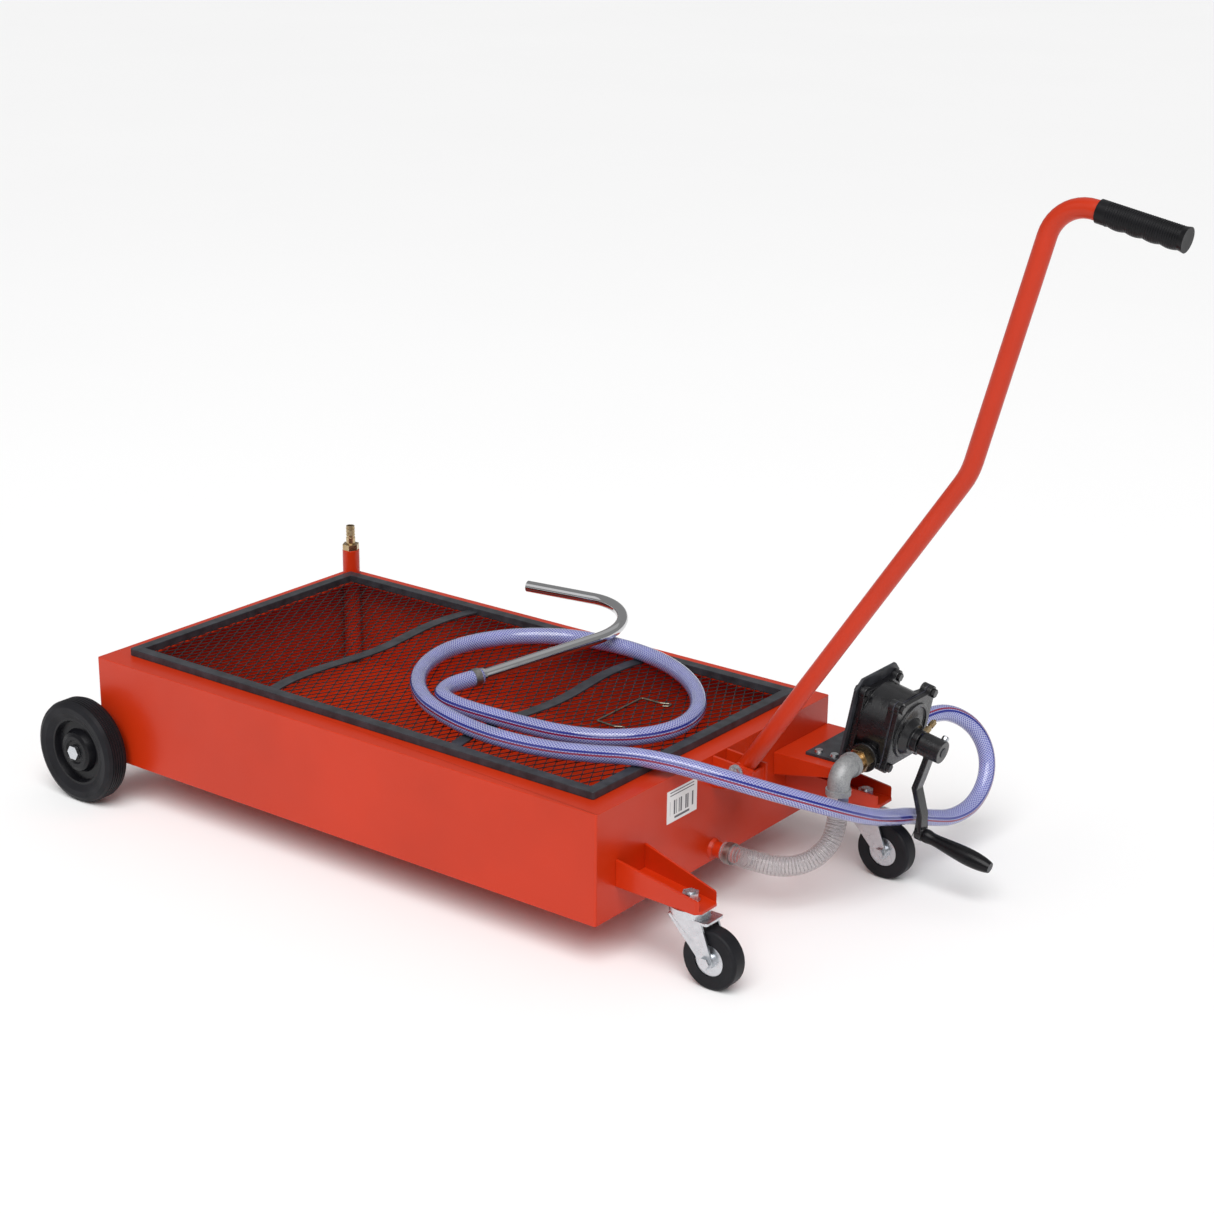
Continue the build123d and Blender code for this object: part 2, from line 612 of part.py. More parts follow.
with BuildPart() as pump_body:
    with BuildSketch(PUMP):
        flange_outline()
    extrude(amount=9)
    with BuildSketch(PUMP.offset(9)):
        Circle(BODY_R)
    extrude(amount=BODY_END - 9)
    with BuildSketch(PUMP.offset(BODY_END - 8)):
        flange_outline()
    extrude(amount=8)
    for port in (PUMP_IN, PUMP_OUT):
        with BuildSketch(port.offset(4)):
            Circle(17)
        extrude(amount=42)
        with BuildSketch(port.offset(46)):
            Circle(19)
        extrude(amount=5)
    with BuildSketch(PUMP.offset(6)):
        Circle(CAVITY_R)
    extrude(amount=BODY_END - 6, mode=Mode.SUBTRACT)
    with BuildSketch(SHAFT.offset(1.5)):
        Circle(SHAFT_R + RUN_FIT)
    extrude(amount=4.5, mode=Mode.SUBTRACT)
    for port in (PUMP_IN, PUMP_OUT):
        with BuildSketch(port.offset(14)):
            Circle(10.5)
        extrude(amount=37, mode=Mode.SUBTRACT)
    for start, depth in ((0, 9), (BODY_END - 8, 8)):
        with BuildSketch(PUMP.offset(start)):
            with Locations(*LOBES):
                Circle(3)
        extrude(amount=depth, mode=Mode.SUBTRACT)
save(pump_body.part, "pump_body")

with BuildPart() as pump_gasket:
    with BuildSketch(PUMP.offset(BODY_END)):
        flange_outline()
        Circle(CAVITY_R, mode=Mode.SUBTRACT)
        with Locations(*LOBES):
            Circle(3, mode=Mode.SUBTRACT)
    extrude(amount=GASKET_T)
save(pump_gasket.part, "pump_gasket")

NECK_END = COVER_FACE + 18.5
with BuildPart() as pump_cover:
    with BuildSketch(PUMP.offset(BODY_END + GASKET_T)):
        flange_outline()
    extrude(amount=COVER_FACE - BODY_END - GASKET_T)
    with BuildSketch(PUMP.offset(COVER_FACE)):
        Circle(37)
        Circle(32, mode=Mode.SUBTRACT)
    extrude(amount=2.5)
    with BuildSketch(SHAFT.offset(COVER_FACE)):
        Circle(26)
    extrude(amount=9, taper=35)
    with BuildSketch(SHAFT.offset(COVER_FACE)):
        Circle(15)
    extrude(amount=NECK_END - COVER_FACE)
    with BuildSketch(SHAFT.offset(BODY_END + GASKET_T)):
        Circle(SHAFT_R + RUN_FIT)
    extrude(amount=40, mode=Mode.SUBTRACT)
    with BuildSketch(PUMP.offset(BODY_END + GASKET_T)):
        with Locations(*LOBES):
            Circle(3)
    extrude(amount=40, mode=Mode.SUBTRACT)
save(pump_cover.part, "pump_cover")

# four bolts hold the cover on and four more hold the pump to its bracket
with BuildPart() as pump_bolts:
    for x, y in LOBES:
        with BuildSketch(PUMP.offset(BODY_END - 7)):
            with Locations((x, y)):
                Circle(3)
        extrude(amount=COVER_FACE - BODY_END + 7)
        with BuildSketch(PUMP.offset(COVER_FACE)):
            with Locations((x, y)):
                RegularPolygon(5, 6, major_radius=False)
        extrude(amount=4.5)
        with BuildSketch(PUMP.offset(-PLATE_T)):
            with Locations((x, y)):
                Circle(3)
        extrude(amount=PLATE_T + 9)
        with BuildSketch(PUMP.offset(-PLATE_T)):
            with Locations((x, y)):
                RegularPolygon(5, 6, major_radius=False)
        extrude(amount=-4.2)
        with BuildSketch(PUMP.offset(9)):
            with Locations((x, y)):
                RegularPolygon(5, 6, major_radius=False)
        extrude(amount=3)
save(pump_bolts.part, "pump_bolts")

# grease nipple, screwed into the cover's neck on the outlet side
NIPPLE_ANGLE = 27.0
nipple_dir = (SHAFT.x_dir * cos(radians(NIPPLE_ANGLE)) + SHAFT.y_dir * sin(radians(NIPPLE_ANGLE)))
nipple_at = SHAFT.from_local_coords(Vector(0, 0, COVER_FACE + 13.8))
NIPPLE = Plane(origin=nipple_at, x_dir=PUMP.z_dir, z_dir=nipple_dir)
with BuildPart() as grease_nipple:
    with BuildSketch(NIPPLE.offset(15)):
        RegularPolygon(4, 6, major_radius=False)
    extrude(amount=9)
    with BuildSketch(NIPPLE.offset(24)):
        Circle(2.6)
    extrude(amount=4)
    with BuildSketch(NIPPLE.offset(28)):
        RegularPolygon(3.8, 6, major_radius=False)
    extrude(amount=8)
    with BuildSketch(NIPPLE.offset(36)):
        Circle(2.2)
    extrude(amount=3)
save(grease_nipple.part, "grease_nipple")

HUB_START = COVER_FACE + 20.5
HUB_END = COVER_FACE + 50.5
with BuildPart() as pump_shaft:
    with BuildSketch(SHAFT.offset(2)):
        Circle(SHAFT_R)
    extrude(amount=HUB_END - 2 + 1)
save(pump_shaft.part, "pump_shaft")

VANE_T = 3.0
with BuildPart() as pump_rotor:
    with BuildSketch(SHAFT.offset(7)):
        Circle(ROTOR_R)
        Circle(SHAFT_R, mode=Mode.SUBTRACT)
        for angle in (0, 90):
            with Locations(Location((0, 0, 0), (0, 0, angle))):
                with Locations((20, 0), (-20, 0)):
                    Rectangle(17, VANE_T + 0.1, mode=Mode.SUBTRACT)
    extrude(amount=BODY_END - 8)
save(pump_rotor.part, "pump_rotor")

with BuildPart() as pump_vanes:
    with BuildSketch(SHAFT.offset(7.3)):
        for angle in (0, 90):
            with Locations(Location((0, 0, 0), (0, 0, angle))):
                with Locations((19.8, 0), (-19.8, 0)):
                    Rectangle(16, VANE_T)
    extrude(amount=BODY_END - 8.6)
save(pump_vanes.part, "pump_vanes")

# crank arm, seen from the side: hub, inner kink, outward kink, grip boss (along the axis, down)
ARM_PATH = [(COVER_FACE + 35, 0), (COVER_FACE + 30, 45), (COVER_FACE + 28, 60), (COVER_FACE + 44, 92),
            (COVER_FACE + 48, CRANK_R)]
ARM_THICK = 8.0
CRANK_SIDE = Plane(origin=SHAFT.origin, x_dir=SHAFT.z_dir, z_dir=(0, -1, 0))
with BuildPart() as crank_arm:
    with BuildSketch(CRANK_SIDE):
        with BuildLine():
            near = [(k - ARM_THICK / 2, -down) for k, down in ARM_PATH]
            far = [(k + ARM_THICK / 2, -down) for k, down in reversed(ARM_PATH)]
            Polyline(*near, *far, close=True)
        make_face()
    extrude(amount=8.5, both=True)
    with BuildSketch(SHAFT.offset(HUB_START)):
        Circle(15)
    extrude(amount=HUB_END - HUB_START)
    with BuildSketch(SHAFT.offset(COVER_FACE + 43)):
        with Locations((0, -CRANK_R)):
            Circle(9.5)
    extrude(amount=10)
    with BuildSketch(SHAFT.offset(HUB_START)):
        Circle(SHAFT_R)
    extrude(amount=HUB_END - HUB_START, mode=Mode.SUBTRACT)
    with BuildSketch(SHAFT.offset(COVER_FACE + 43)):
        with Locations((0, -CRANK_R)):
            Circle(4)
    extrude(amount=10, mode=Mode.SUBTRACT)
save(crank_arm.part, "crank_arm")

SCREW_ANGLE = 50.0
screw_dir = SHAFT.x_dir * cos(radians(SCREW_ANGLE)) + SHAFT.y_dir * sin(radians(SCREW_ANGLE))
screw_at = SHAFT.from_local_coords(Vector(0, 0, COVER_FACE + 44))
SCREW = Plane(origin=screw_at, x_dir=PUMP.z_dir, z_dir=screw_dir)
with BuildPart() as crank_set_screw:
    with BuildSketch(SCREW.offset(15)):
        Circle(4.6)
    extrude(amount=5.6)
    fillet(crank_set_screw.faces().sort_by(Axis(screw_at, screw_dir))[-1].edges(), radius=2)
save(crank_set_screw.part, "crank_set_screw")

PIN_START = COVER_FACE + 43
GRIP_K = COVER_FACE + 54
GRIP_LEN = 96.0
CRANK_PIN = SHAFT.offset(PIN_START).location * Location((0, -CRANK_R, 0))
PIN_PLANE = Plane(CRANK_PIN)
with BuildPart() as crank_pin:
    with BuildSketch(PIN_PLANE):
        Circle(4)
    extrude(amount=11 + GRIP_LEN - 1)
    with BuildSketch(PIN_PLANE.offset(11 + GRIP_LEN - 3)):
        Circle(6)
    extrude(amount=3)
save(crank_pin.part, "crank_pin")

# turned grip: a collar, a waist, a swelling for the palm and a flat end
GRIP_PROFILE = [(0, 8.5), (4, 9), (10, 8.2), (26, 8.6), (47, 10.4), (66, 11.2), (83, 10), (93, 8), (96, 7)]
with BuildPart() as crank_grip:
    with BuildSketch(Plane(origin=PIN_PLANE.offset(11).origin, x_dir=PUMP.z_dir, z_dir=(0, -1, 0))):
        with BuildLine():
            Line((0, 4 + RUN_FIT), (0, GRIP_PROFILE[0][1]))
            Spline(*GRIP_PROFILE)
            Polyline((GRIP_LEN, GRIP_PROFILE[-1][1]), (GRIP_LEN, 6.3), (GRIP_LEN - 4, 6.3),
                     (GRIP_LEN - 4, 4 + RUN_FIT), (0, 4 + RUN_FIT))
        make_face()
    revolve(axis=Axis(PIN_PLANE.origin, PUMP.z_dir))
save(crank_grip.part, "crank_grip")

# ================================================================ suction side
ELBOW_Y = 85.0
ELBOW_OUT = PUMP_Y - ELBOW_Y
with BuildPart() as inlet_bushing:
    with BuildSketch(PUMP_IN.offset(38)):
        Circle(10.5)
        Circle(7, mode=Mode.SUBTRACT)
    extrude(amount=13)
    with BuildSketch(PUMP_IN.offset(51)):
        RegularPolygon(14, 6, major_radius=False)
        Circle(7, mode=Mode.SUBTRACT)
    extrude(amount=13)
    with BuildSketch(PUMP_IN.offset(64)):
        Circle(10.2)
        Circle(7, mode=Mode.SUBTRACT)
    extrude(amount=ELBOW_OUT - 64 - 20)
save(inlet_bushing.part, "inlet_bushing")

ELBOW = Vector(INLET.X, ELBOW_Y, INLET.Z)
ELBOW_DOWN = Plane(origin=ELBOW, x_dir=(1, 0, 0), z_dir=(0, 0, -1))
ELBOW_SIDE = Plane(origin=ELBOW, x_dir=(1, 0, 0), z_dir=(0, 1, 0))
ELBOW_R = 14.0
with BuildPart() as suction_elbow:
    with BuildLine():
        bend = FilletPolyline(ELBOW + Vector(0, 29, 0), ELBOW, ELBOW - Vector(0, 0, 29), radius=17)
    with BuildSketch(Plane(origin=bend @ 0, z_dir=bend % 0)):
        Circle(ELBOW_R)
    sweep(path=bend)
    for mouth in (ELBOW_DOWN, ELBOW_SIDE):
        with BuildSketch(mouth.offset(23)):
            Circle(ELBOW_R + 2)
        extrude(amount=7)
    for mouth in (ELBOW_DOWN, ELBOW_SIDE):
        with BuildSketch(mouth.offset(20)):
            Circle(10.2)
        extrude(amount=11, mode=Mode.SUBTRACT)
    with BuildLine():
        bore = FilletPolyline(ELBOW + Vector(0, 22, 0), ELBOW, ELBOW - Vector(0, 0, 22), radius=17)
    with BuildSketch(Plane(origin=bore @ 0, z_dir=bore % 0)):
        Circle(8)
    sweep(path=bore, mode=Mode.SUBTRACT)
save(suction_elbow.part, "suction_elbow")

TAIL_HEX = 30.0            # the hose tail's hexagon starts this far below the elbow's centre
with BuildPart() as suction_hose_tail:
    with BuildSketch(ELBOW_DOWN.offset(20)):
        Circle(10.2)
    extrude(amount=TAIL_HEX - 20)
    with BuildSketch(ELBOW_DOWN.offset(TAIL_HEX)):
        RegularPolygon(13, 6, major_radius=False)
    extrude(amount=7)
    with BuildSketch(ELBOW_DOWN.offset(TAIL_HEX + 7)):
        Circle(SUCTION_BORE)
    extrude(amount=14)
    with BuildSketch(ELBOW_DOWN.offset(20)):
        Circle(7)
    extrude(amount=60, mode=Mode.SUBTRACT)
save(suction_hose_tail.part, "suction_hose_tail")

# the clear hose is held at both ends, by the drain stub and by the hose tail
SUCTION_ROUTE = [
    (WALL_X + 17, -10, 74),
    (tx(482), -10, 74),
    (tx(512), 10, 65),
    (tx(534), 42, 66),
    (tx(545), 73, 84),
    (ELBOW.X, ELBOW_Y, 111),
    (ELBOW.X, ELBOW_Y, ELBOW.Z - TAIL_HEX - 8),
]
suction_radii = bend_radii(SUCTION_ROUTE)
print("suction hose radii", [round(r) for r in suction_radii])
with BuildPart() as suction_hose:
    with BuildLine():
        suction_path = FilletPolyline(*SUCTION_ROUTE, radius=suction_radii)
    with BuildSketch(Plane(origin=suction_path @ 0, z_dir=suction_path % 0)):
        Circle(SUCTION_R)
        Circle(SUCTION_BORE, mode=Mode.SUBTRACT)
    sweep(path=suction_path)
print("suction hose length", round(suction_path.length, 1),
      "volume ratio", round(suction_hose.part.volume / suction_path.length
                            / (pi * (SUCTION_R ** 2 - SUCTION_BORE ** 2)), 3))
save(suction_hose.part, "suction_hose")

with BuildPart() as suction_hose_clamps:
    for where in (Plane(suction_path.location_at(0.045)), Plane(suction_path.location_at(0.955))):
        with BuildSketch(Plane(origin=where.origin, z_dir=where.z_dir)):
            Circle(SUCTION_R + 1)
            Circle(SUCTION_R, mode=Mode.SUBTRACT)
        extrude(amount=4.5, both=True)
save(suction_hose_clamps.part, "suction_hose_clamps")

# ================================================================ delivery side
OUT_TAIL = 67.0            # end face of the outlet fitting, out from the pump's middle
with BuildPart() as outlet_fitting:
    with BuildSketch(PUMP_OUT.offset(38)):
        Circle(10.5)
    extrude(amount=13)
    with BuildSketch(PUMP_OUT.offset(51)):
        RegularPolygon(14, 6, major_radius=False)
    extrude(amount=9)
    with BuildSketch(PUMP_OUT.offset(60)):
        Circle(HOSE_R)
    extrude(amount=OUT_TAIL - 60)
    with BuildSketch(PUMP_OUT.offset(38)):
        Circle(6.5)
    extrude(amount=40, mode=Mode.SUBTRACT)
save(outlet_fitting.part, "outlet_fitting")

HOSE_ROUTE = [
    (OUTLET.X, PUMP_Y + OUT_TAIL, OUTLET.Z),
    (OUTLET.X, 298, OUTLET.Z),
    (tx(556), 340, 181),
    (tx(573), 374, 156),
    (tx(588), 387, 120),
    (tx(598), 372, 86),
    (tx(600), 335, 62),
    (tx(594), 290, 58),
    (tx(587), 244, 72),
    (tx(583), 198, 90),
    (tx(584), 151, 104),
    (tx(584), 104, 120),
    (tx(574), 56, 141),
    (tx(553), 6, 165),
    (tx(521), -42, 188),
    (tx(480), -80, 207),
    (tx(433), -104, 219),
    (tx(386), -122, 223),
    (tx(338), -141, 219.5),
    (tx(285), -158, HOSE_Z + 0.2),
    (tx(224), -168, HOSE_Z),
    (tx(164), -165, HOSE_Z),
    (tx(108), -151, HOSE_Z),
    (tx(56), -129, HOSE_Z),
    (tx(6), -88, HOSE_Z),
    (tx(-30), -35, HOSE_Z),
    (tx(-47), 26, HOSE_Z),
    (tx(-39), 84, HOSE_Z),
    (tx(-8), 138, HOSE_Z),
    (tx(42), 176, HOSE_Z),
    (tx(100), 191, HOSE_Z),
    (tx(160), 191, HOSE_Z),
    (tx(218), 176, HOSE_Z),
    (tx(270), 148, HOSE_Z),
    (tx(316), 108, HOSE_Z),
    (tx(352), 56, HOSE_Z),
    (tx(365), 0, HOSE_Z),
    (tx(350), -50, HOSE_Z),
    (tx(312), -88, HOSE_Z),
    (tx(262), -108, HOSE_Z),
    (tx(208), -114, HOSE_Z),
    (tx(154), -116, HOSE_Z),
    (tx(114), -116, HOSE_Z),
    (tx(82), -112, HOSE_Z),
    (tx(57), -98, HOSE_Z),
    (tx(46), -73, HOSE_Z),
    (tx(48), -45, HOSE_Z + 0.2),
    (tx(56), -17, HOSE_Z + 0.6),
]
hose_radii = bend_radii(HOSE_ROUTE)
print("delivery hose radii", [round(r) for r in hose_radii])
with BuildPart() as delivery_hose:
    with BuildLine():
        hose_path = FilletPolyline(*HOSE_ROUTE, radius=hose_radii)
    with BuildSketch(Plane(origin=hose_path @ 0, z_dir=hose_path % 0)):
        Circle(HOSE_R)
    sweep(path=hose_path)
print("delivery hose length", round(hose_path.length, 1),
      "volume ratio", round(delivery_hose.part.volume / hose_path.length / (pi * HOSE_R ** 2), 3))
save(delivery_hose.part, "delivery_hose")

hose_end = hose_path @ 1
hose_heading = hose_path % 1
SPOUT_ROUTE = [
    (hose_end.X, hose_end.Y, hose_end.Z),
    (tx(157), 273, 248),
    (tx(-72), 238, 249),
]
with BuildPart() as spout_tube:
    with BuildLine():
        spout_path = FilletPolyline(*SPOUT_ROUTE, radius=76)
    with BuildSketch(Plane(origin=spout_path @ 0, z_dir=spout_path % 0)):
        Circle(SPOUT_R)
        Circle(SPOUT_R - 1.2, mode=Mode.SUBTRACT)
    sweep(path=spout_path)
    # a collar closes the hose's end round the tube
    with BuildSketch(Plane(origin=hose_end, z_dir=hose_heading)):
        Circle(HOSE_R - 0.5)
    extrude(amount=4)
    split(bisect_by=Plane(origin=hose_end, z_dir=hose_heading), keep=Keep.TOP)
save(spout_tube.part, "spout_tube")

with BuildPart() as delivery_hose_clamps:
    for at, length in ((0, 10), (1, -10)):
        point = hose_path @ at
        heading = hose_path % at
        base = Plane(origin=point + heading * (length * 0.4), z_dir=heading)
        with BuildSketch(base):
            Circle(HOSE_R + 1.2)
            Circle(HOSE_R, mode=Mode.SUBTRACT)
        extrude(amount=length)
save(delivery_hose_clamps.part, "delivery_hose_clamps")

# ================================================================ wire hook lying on the mesh
WIRE_R = 1.5
WIRE_Z = MESH_TOP + WIRE_R + 0.1
HOOK_ROUTE = [(tx(286), 71, WIRE_Z), (tx(293), 75, WIRE_Z), (tx(291), 84, WIRE_Z), (tx(277), 77.5, WIRE_Z),
              (tx(248), 77.5, WIRE_Z), (tx(251), -22, WIRE_Z), (tx(280), -24, WIRE_Z), (tx(291), -18, WIRE_Z),
              (tx(297), -27, WIRE_Z)]
with BuildPart() as wire_hook:
    with BuildLine():
        hook_path = FilletPolyline(*HOOK_ROUTE, radius=3)
    with BuildSketch(Plane(origin=hook_path @ 0, z_dir=hook_path % 0)):
        Circle(WIRE_R)
    sweep(path=hook_path)
save(wire_hook.part, "wire_hook")
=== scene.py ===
"""A wheeled drain tank with a hand pump: its finishes, its see-through hoses, its grate and its stage."""
import math

import bmesh
import bpy
from bpy.props import FloatProperty, FloatVectorProperty, PointerProperty
from mathutils import Matrix, Vector


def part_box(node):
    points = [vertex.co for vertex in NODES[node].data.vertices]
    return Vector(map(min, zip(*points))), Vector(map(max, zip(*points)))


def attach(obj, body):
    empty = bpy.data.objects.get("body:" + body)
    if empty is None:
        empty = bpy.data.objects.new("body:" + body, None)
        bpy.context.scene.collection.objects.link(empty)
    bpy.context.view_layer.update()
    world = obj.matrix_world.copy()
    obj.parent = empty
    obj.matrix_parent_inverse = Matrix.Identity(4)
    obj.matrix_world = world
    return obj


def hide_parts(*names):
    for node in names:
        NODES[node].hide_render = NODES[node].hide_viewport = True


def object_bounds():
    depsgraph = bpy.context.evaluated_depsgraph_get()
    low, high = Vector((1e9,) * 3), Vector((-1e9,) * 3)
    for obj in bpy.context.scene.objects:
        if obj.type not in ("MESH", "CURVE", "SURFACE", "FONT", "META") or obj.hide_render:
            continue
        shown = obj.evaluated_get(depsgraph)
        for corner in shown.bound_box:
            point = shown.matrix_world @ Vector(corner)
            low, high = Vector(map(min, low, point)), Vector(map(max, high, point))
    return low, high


bl_info = {
    "name": "Drain tank",
    "version": (1, 0, 0),
    "blender": (4, 5, 0),
    "location": "View3D > Sidebar > Drain tank",
    "description": "Finishes and soft pieces of a wheeled drain tank with a hand pump",
    "category": "Object",
}

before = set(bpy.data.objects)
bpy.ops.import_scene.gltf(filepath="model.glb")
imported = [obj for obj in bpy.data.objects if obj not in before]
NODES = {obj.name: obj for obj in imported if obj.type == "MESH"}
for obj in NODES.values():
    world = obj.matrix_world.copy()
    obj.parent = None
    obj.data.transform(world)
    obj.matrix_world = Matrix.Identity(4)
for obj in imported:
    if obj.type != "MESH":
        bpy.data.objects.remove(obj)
MM = 0.001

# ------------------------------------------------------------------ places, from the frame
CAD_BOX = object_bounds()
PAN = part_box("tank_pan")
TANK_X = (PAN[0].x + PAN[1].x) / 2
WALL_X = PAN[1].x
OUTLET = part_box("outlet_fitting")
OUTLET_X = (OUTLET[0].x + OUTLET[1].x) / 2
OUTLET_Z = (OUTLET[0].z + OUTLET[1].z) / 2
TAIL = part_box("suction_hose_tail")
TAIL_X = (TAIL[0].x + TAIL[1].x) / 2
TAIL_Y = (TAIL[0].y + TAIL[1].y) / 2
CROSSBAR_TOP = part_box("grate_crossbars")[1].z

HOSE_RADIUS = 0.011
REST_GAP = 0.2

# Height in mm of the hose's middle where it lies on the grate, with a little room under it.
LIE = (CROSSBAR_TOP + HOSE_RADIUS) / MM + REST_GAP

CLEAR_HOSE_RADIUS = 0.0130
CLEAR_HOSE_RIPPLE = 0.15 * MM
WIRE_COIL_RADIUS = 0.0117
WIRE_RADIUS = 0.35 * MM
WIRE_STEPS = 14

SHARP_ANGLE = math.radians(33)
FLOOR_HALF = 40.0
SUN_HEADING = (-0.30, 0.50, -0.81)
SUN_SPREAD = math.radians(50)


# ------------------------------------------------------------------ settings
class DrainTankStage(bpy.types.PropertyGroup):
    """Camera, floor and lights."""
    camera_place: FloatVectorProperty(
        name="Camera place", description="Where the camera stands", subtype="TRANSLATION", unit="LENGTH",
        default=(1.7413, -2.2866, 1.3273))
    azimuth: FloatProperty(name="Azimuth", description="Turn of the view round the tank", subtype="ANGLE",
                           default=math.radians(37.09))
    elevation: FloatProperty(name="Elevation", description="Height of the view above the horizon",
                             subtype="ANGLE", default=math.radians(18.83))
    roll: FloatProperty(name="Roll", description="Small tilt of the camera", subtype="ANGLE",
                        default=math.radians(0.6))
    lens: FloatProperty(name="Lens", description="Focal length on a 36 mm sensor, in millimetres",
                        default=71.84)
    floor_color: FloatVectorProperty(name="Floor", description="Colour of the floor", subtype="COLOR", size=4,
                                     default=(0.96, 0.96, 0.96, 1))
    key_power: FloatProperty(name="Key light", description="Power of the large light at the left",
                             unit="POWER", default=12)
    fill_power: FloatProperty(name="Fill light", description="Power of the large light at the right",
                              unit="POWER", default=5)
    sun_strength: FloatProperty(name="Sun", description="Strength of the wide soft light over everything",
                                default=2.75)
    sky_strength: FloatProperty(name="Sky", description="Strength of the even light all round", default=0.31)


class DrainTankFinish(bpy.types.PropertyGroup):
    """Colours of the tank's finishes."""
    red: FloatVectorProperty(name="Red coat", description="Powder coat of the tank and handle",
                             subtype="COLOR", size=4, default=(0.52, 0.028, 0.003, 1))
    black: FloatVectorProperty(name="Black paint", description="Paint of the grate's bars", subtype="COLOR",
                               size=4, default=(0.020, 0.021, 0.025, 1))
    casting: FloatVectorProperty(name="Pump paint", description="Paint of the pump's castings",
                                 subtype="COLOR", size=4, default=(0.005, 0.005, 0.006, 1))
    hose: FloatVectorProperty(name="Delivery hose", description="Tint of the braided hose", subtype="COLOR",
                              size=4, default=(0.150, 0.160, 0.54, 1))


class DrainTankSizes(bpy.types.PropertyGroup):
    """Sizes of what is finer than the frame's solids."""
    diamond_x: FloatProperty(name="Diamond, short way", description="Short way of the grate's openings",
                             unit="LENGTH", default=0.0140)
    diamond_y: FloatProperty(name="Diamond, long way", description="Long way of the grate's openings",
                             unit="LENGTH", default=0.0245)
    strand: FloatProperty(name="Strand", description="Width of the grate's strands", unit="LENGTH",
                          default=0.0012)
    braid: FloatProperty(name="Braid", description="Distance between the hose's threads", unit="LENGTH",
                         default=0.0042)
    wire_pitch: FloatProperty(name="Wire pitch", description="Pitch of the wire in the clear hose",
                              unit="LENGTH", default=0.0046)
    round_over: FloatProperty(name="Rounding", description="Rounding of the sheet metal's edges",
                              unit="LENGTH", default=0.0007)


# ------------------------------------------------------------------ shader arithmetic
class Value:
    """A shader socket that can be used in arithmetic: each operator adds its Math node."""

    def __init__(self, recipe, socket):
        self.recipe = recipe
        self.socket = socket

    def _math(self, operation, *inputs):
        return self.recipe.node("ShaderNodeMath", {"operation": operation}, dict(enumerate(inputs)))

    def __add__(self, other):
        return self._math("ADD", self, other)

    __radd__ = __add__

    def __sub__(self, other):
        return self._math("SUBTRACT", self, other)

    def __rsub__(self, other):
        return self._math("SUBTRACT", other, self)

    def __mul__(self, other):
        return self._math("MULTIPLY", self, other)

    __rmul__ = __mul__

    def __truediv__(self, other):
        return self._math("DIVIDE", self, other)

    def __abs__(self):
        return self._math("ABSOLUTE", self)

    def __lt__(self, other):
        return self._math("LESS_THAN", self, other)

    def __gt__(self, other):
        return self._math("GREATER_THAN", self, other)

    def part(self):
        """What is left after the whole number is taken away."""
        return self._math("FRACT", self)

    def sine(self):
        return self._math("SINE", self)

    def larger(self, other):
        return self._math("MAXIMUM", self, other)


class Recipe:
    """One material's nodes."""

    def __init__(self, name):
        self.material = bpy.data.materials.new(name)
        self.material.use_nodes = True
        self.tree = self.material.node_tree
        self.tree.nodes.clear()
        self.output = self.tree.nodes.new("ShaderNodeOutputMaterial")

    def node(self, kind, settings=None, inputs=None, output=0):
        made = self.tree.nodes.new(kind)
        for key, value in (settings or {}).items():
            setattr(made, key, value)
        for key, value in (inputs or {}).items():
            if isinstance(value, Value):
                self.tree.links.new(value.socket, made.inputs[key])
            else:
                made.inputs[key].default_value = value
        return Value(self, made.outputs[output])

    def place(self):
        return self.node("ShaderNodeTexCoord", output="Object")

    def noise(self, scale, detail=3.0, roughness=0.55):
        return self.node("ShaderNodeTexNoise", None,
                         {"Vector": self.place(), "Scale": scale, "Detail": detail, "Roughness": roughness})

    def spread(self, value, low=0.0, high=1.0):
        """A noise's middle range stretched to run from low to high."""
        return self.node("ShaderNodeMapRange", None, {"Value": value, "From Min": 0.3, "From Max": 0.7,
                                                      "To Min": low, "To Max": high})

    def mix(self, factor, first, second):
        return self.node("ShaderNodeMix", {"data_type": "RGBA"}, {0: factor, 6: first, 7: second}, output=2)

    def bump(self, height, strength, distance):
        return self.node("ShaderNodeBump", None,
                         {"Height": height, "Strength": strength, "Distance": distance})

    def along_and_round(self):
        """Length along a swept piece in metres, and the share of the way round it."""
        marks = self.node("ShaderNodeUVMap", {"uv_map": "sweep"})
        split = self.node("ShaderNodeSeparateXYZ", None, {0: marks})
        return split, Value(self, split.socket.node.outputs[1])

    def surface(self, inputs):
        shader = self.node("ShaderNodeBsdfPrincipled", None, inputs)
        self.tree.links.new(shader.socket, self.output.inputs["Surface"])
        return self.material


def shade(color, share):
    """A colour made darker or lighter."""
    return tuple(channel * share for channel in color[:3]) + (1.0,)


# ------------------------------------------------------------------ finishes
def powder_coat(color):
    recipe = Recipe("red_coat")
    clouds = recipe.noise(7.0, 2.0)
    peel = recipe.noise(420.0, 2.0)
    return recipe.surface({
        "Base Color": recipe.mix(recipe.spread(clouds), shade(color, 0.93), shade(color, 1.05)),
        "Roughness": recipe.spread(recipe.noise(30.0), 0.30, 0.40),
        "Specular IOR Level": 0.30,
        "Coat Weight": 0.08,
        "Coat Roughness": 0.12,
        "Normal": recipe.bump(peel, 0.10, 0.0004),
    })


def bar_paint(color):
    recipe = Recipe("bar_paint")
    return recipe.surface({
        "Base Color": recipe.mix(recipe.spread(recipe.noise(60.0)), color, shade(color, 2.2)),
        "Roughness": recipe.spread(recipe.noise(25.0), 0.34, 0.5),
        "Specular IOR Level": 0.35,
        "Normal": recipe.bump(recipe.noise(500.0), 0.12, 0.0003),
    })


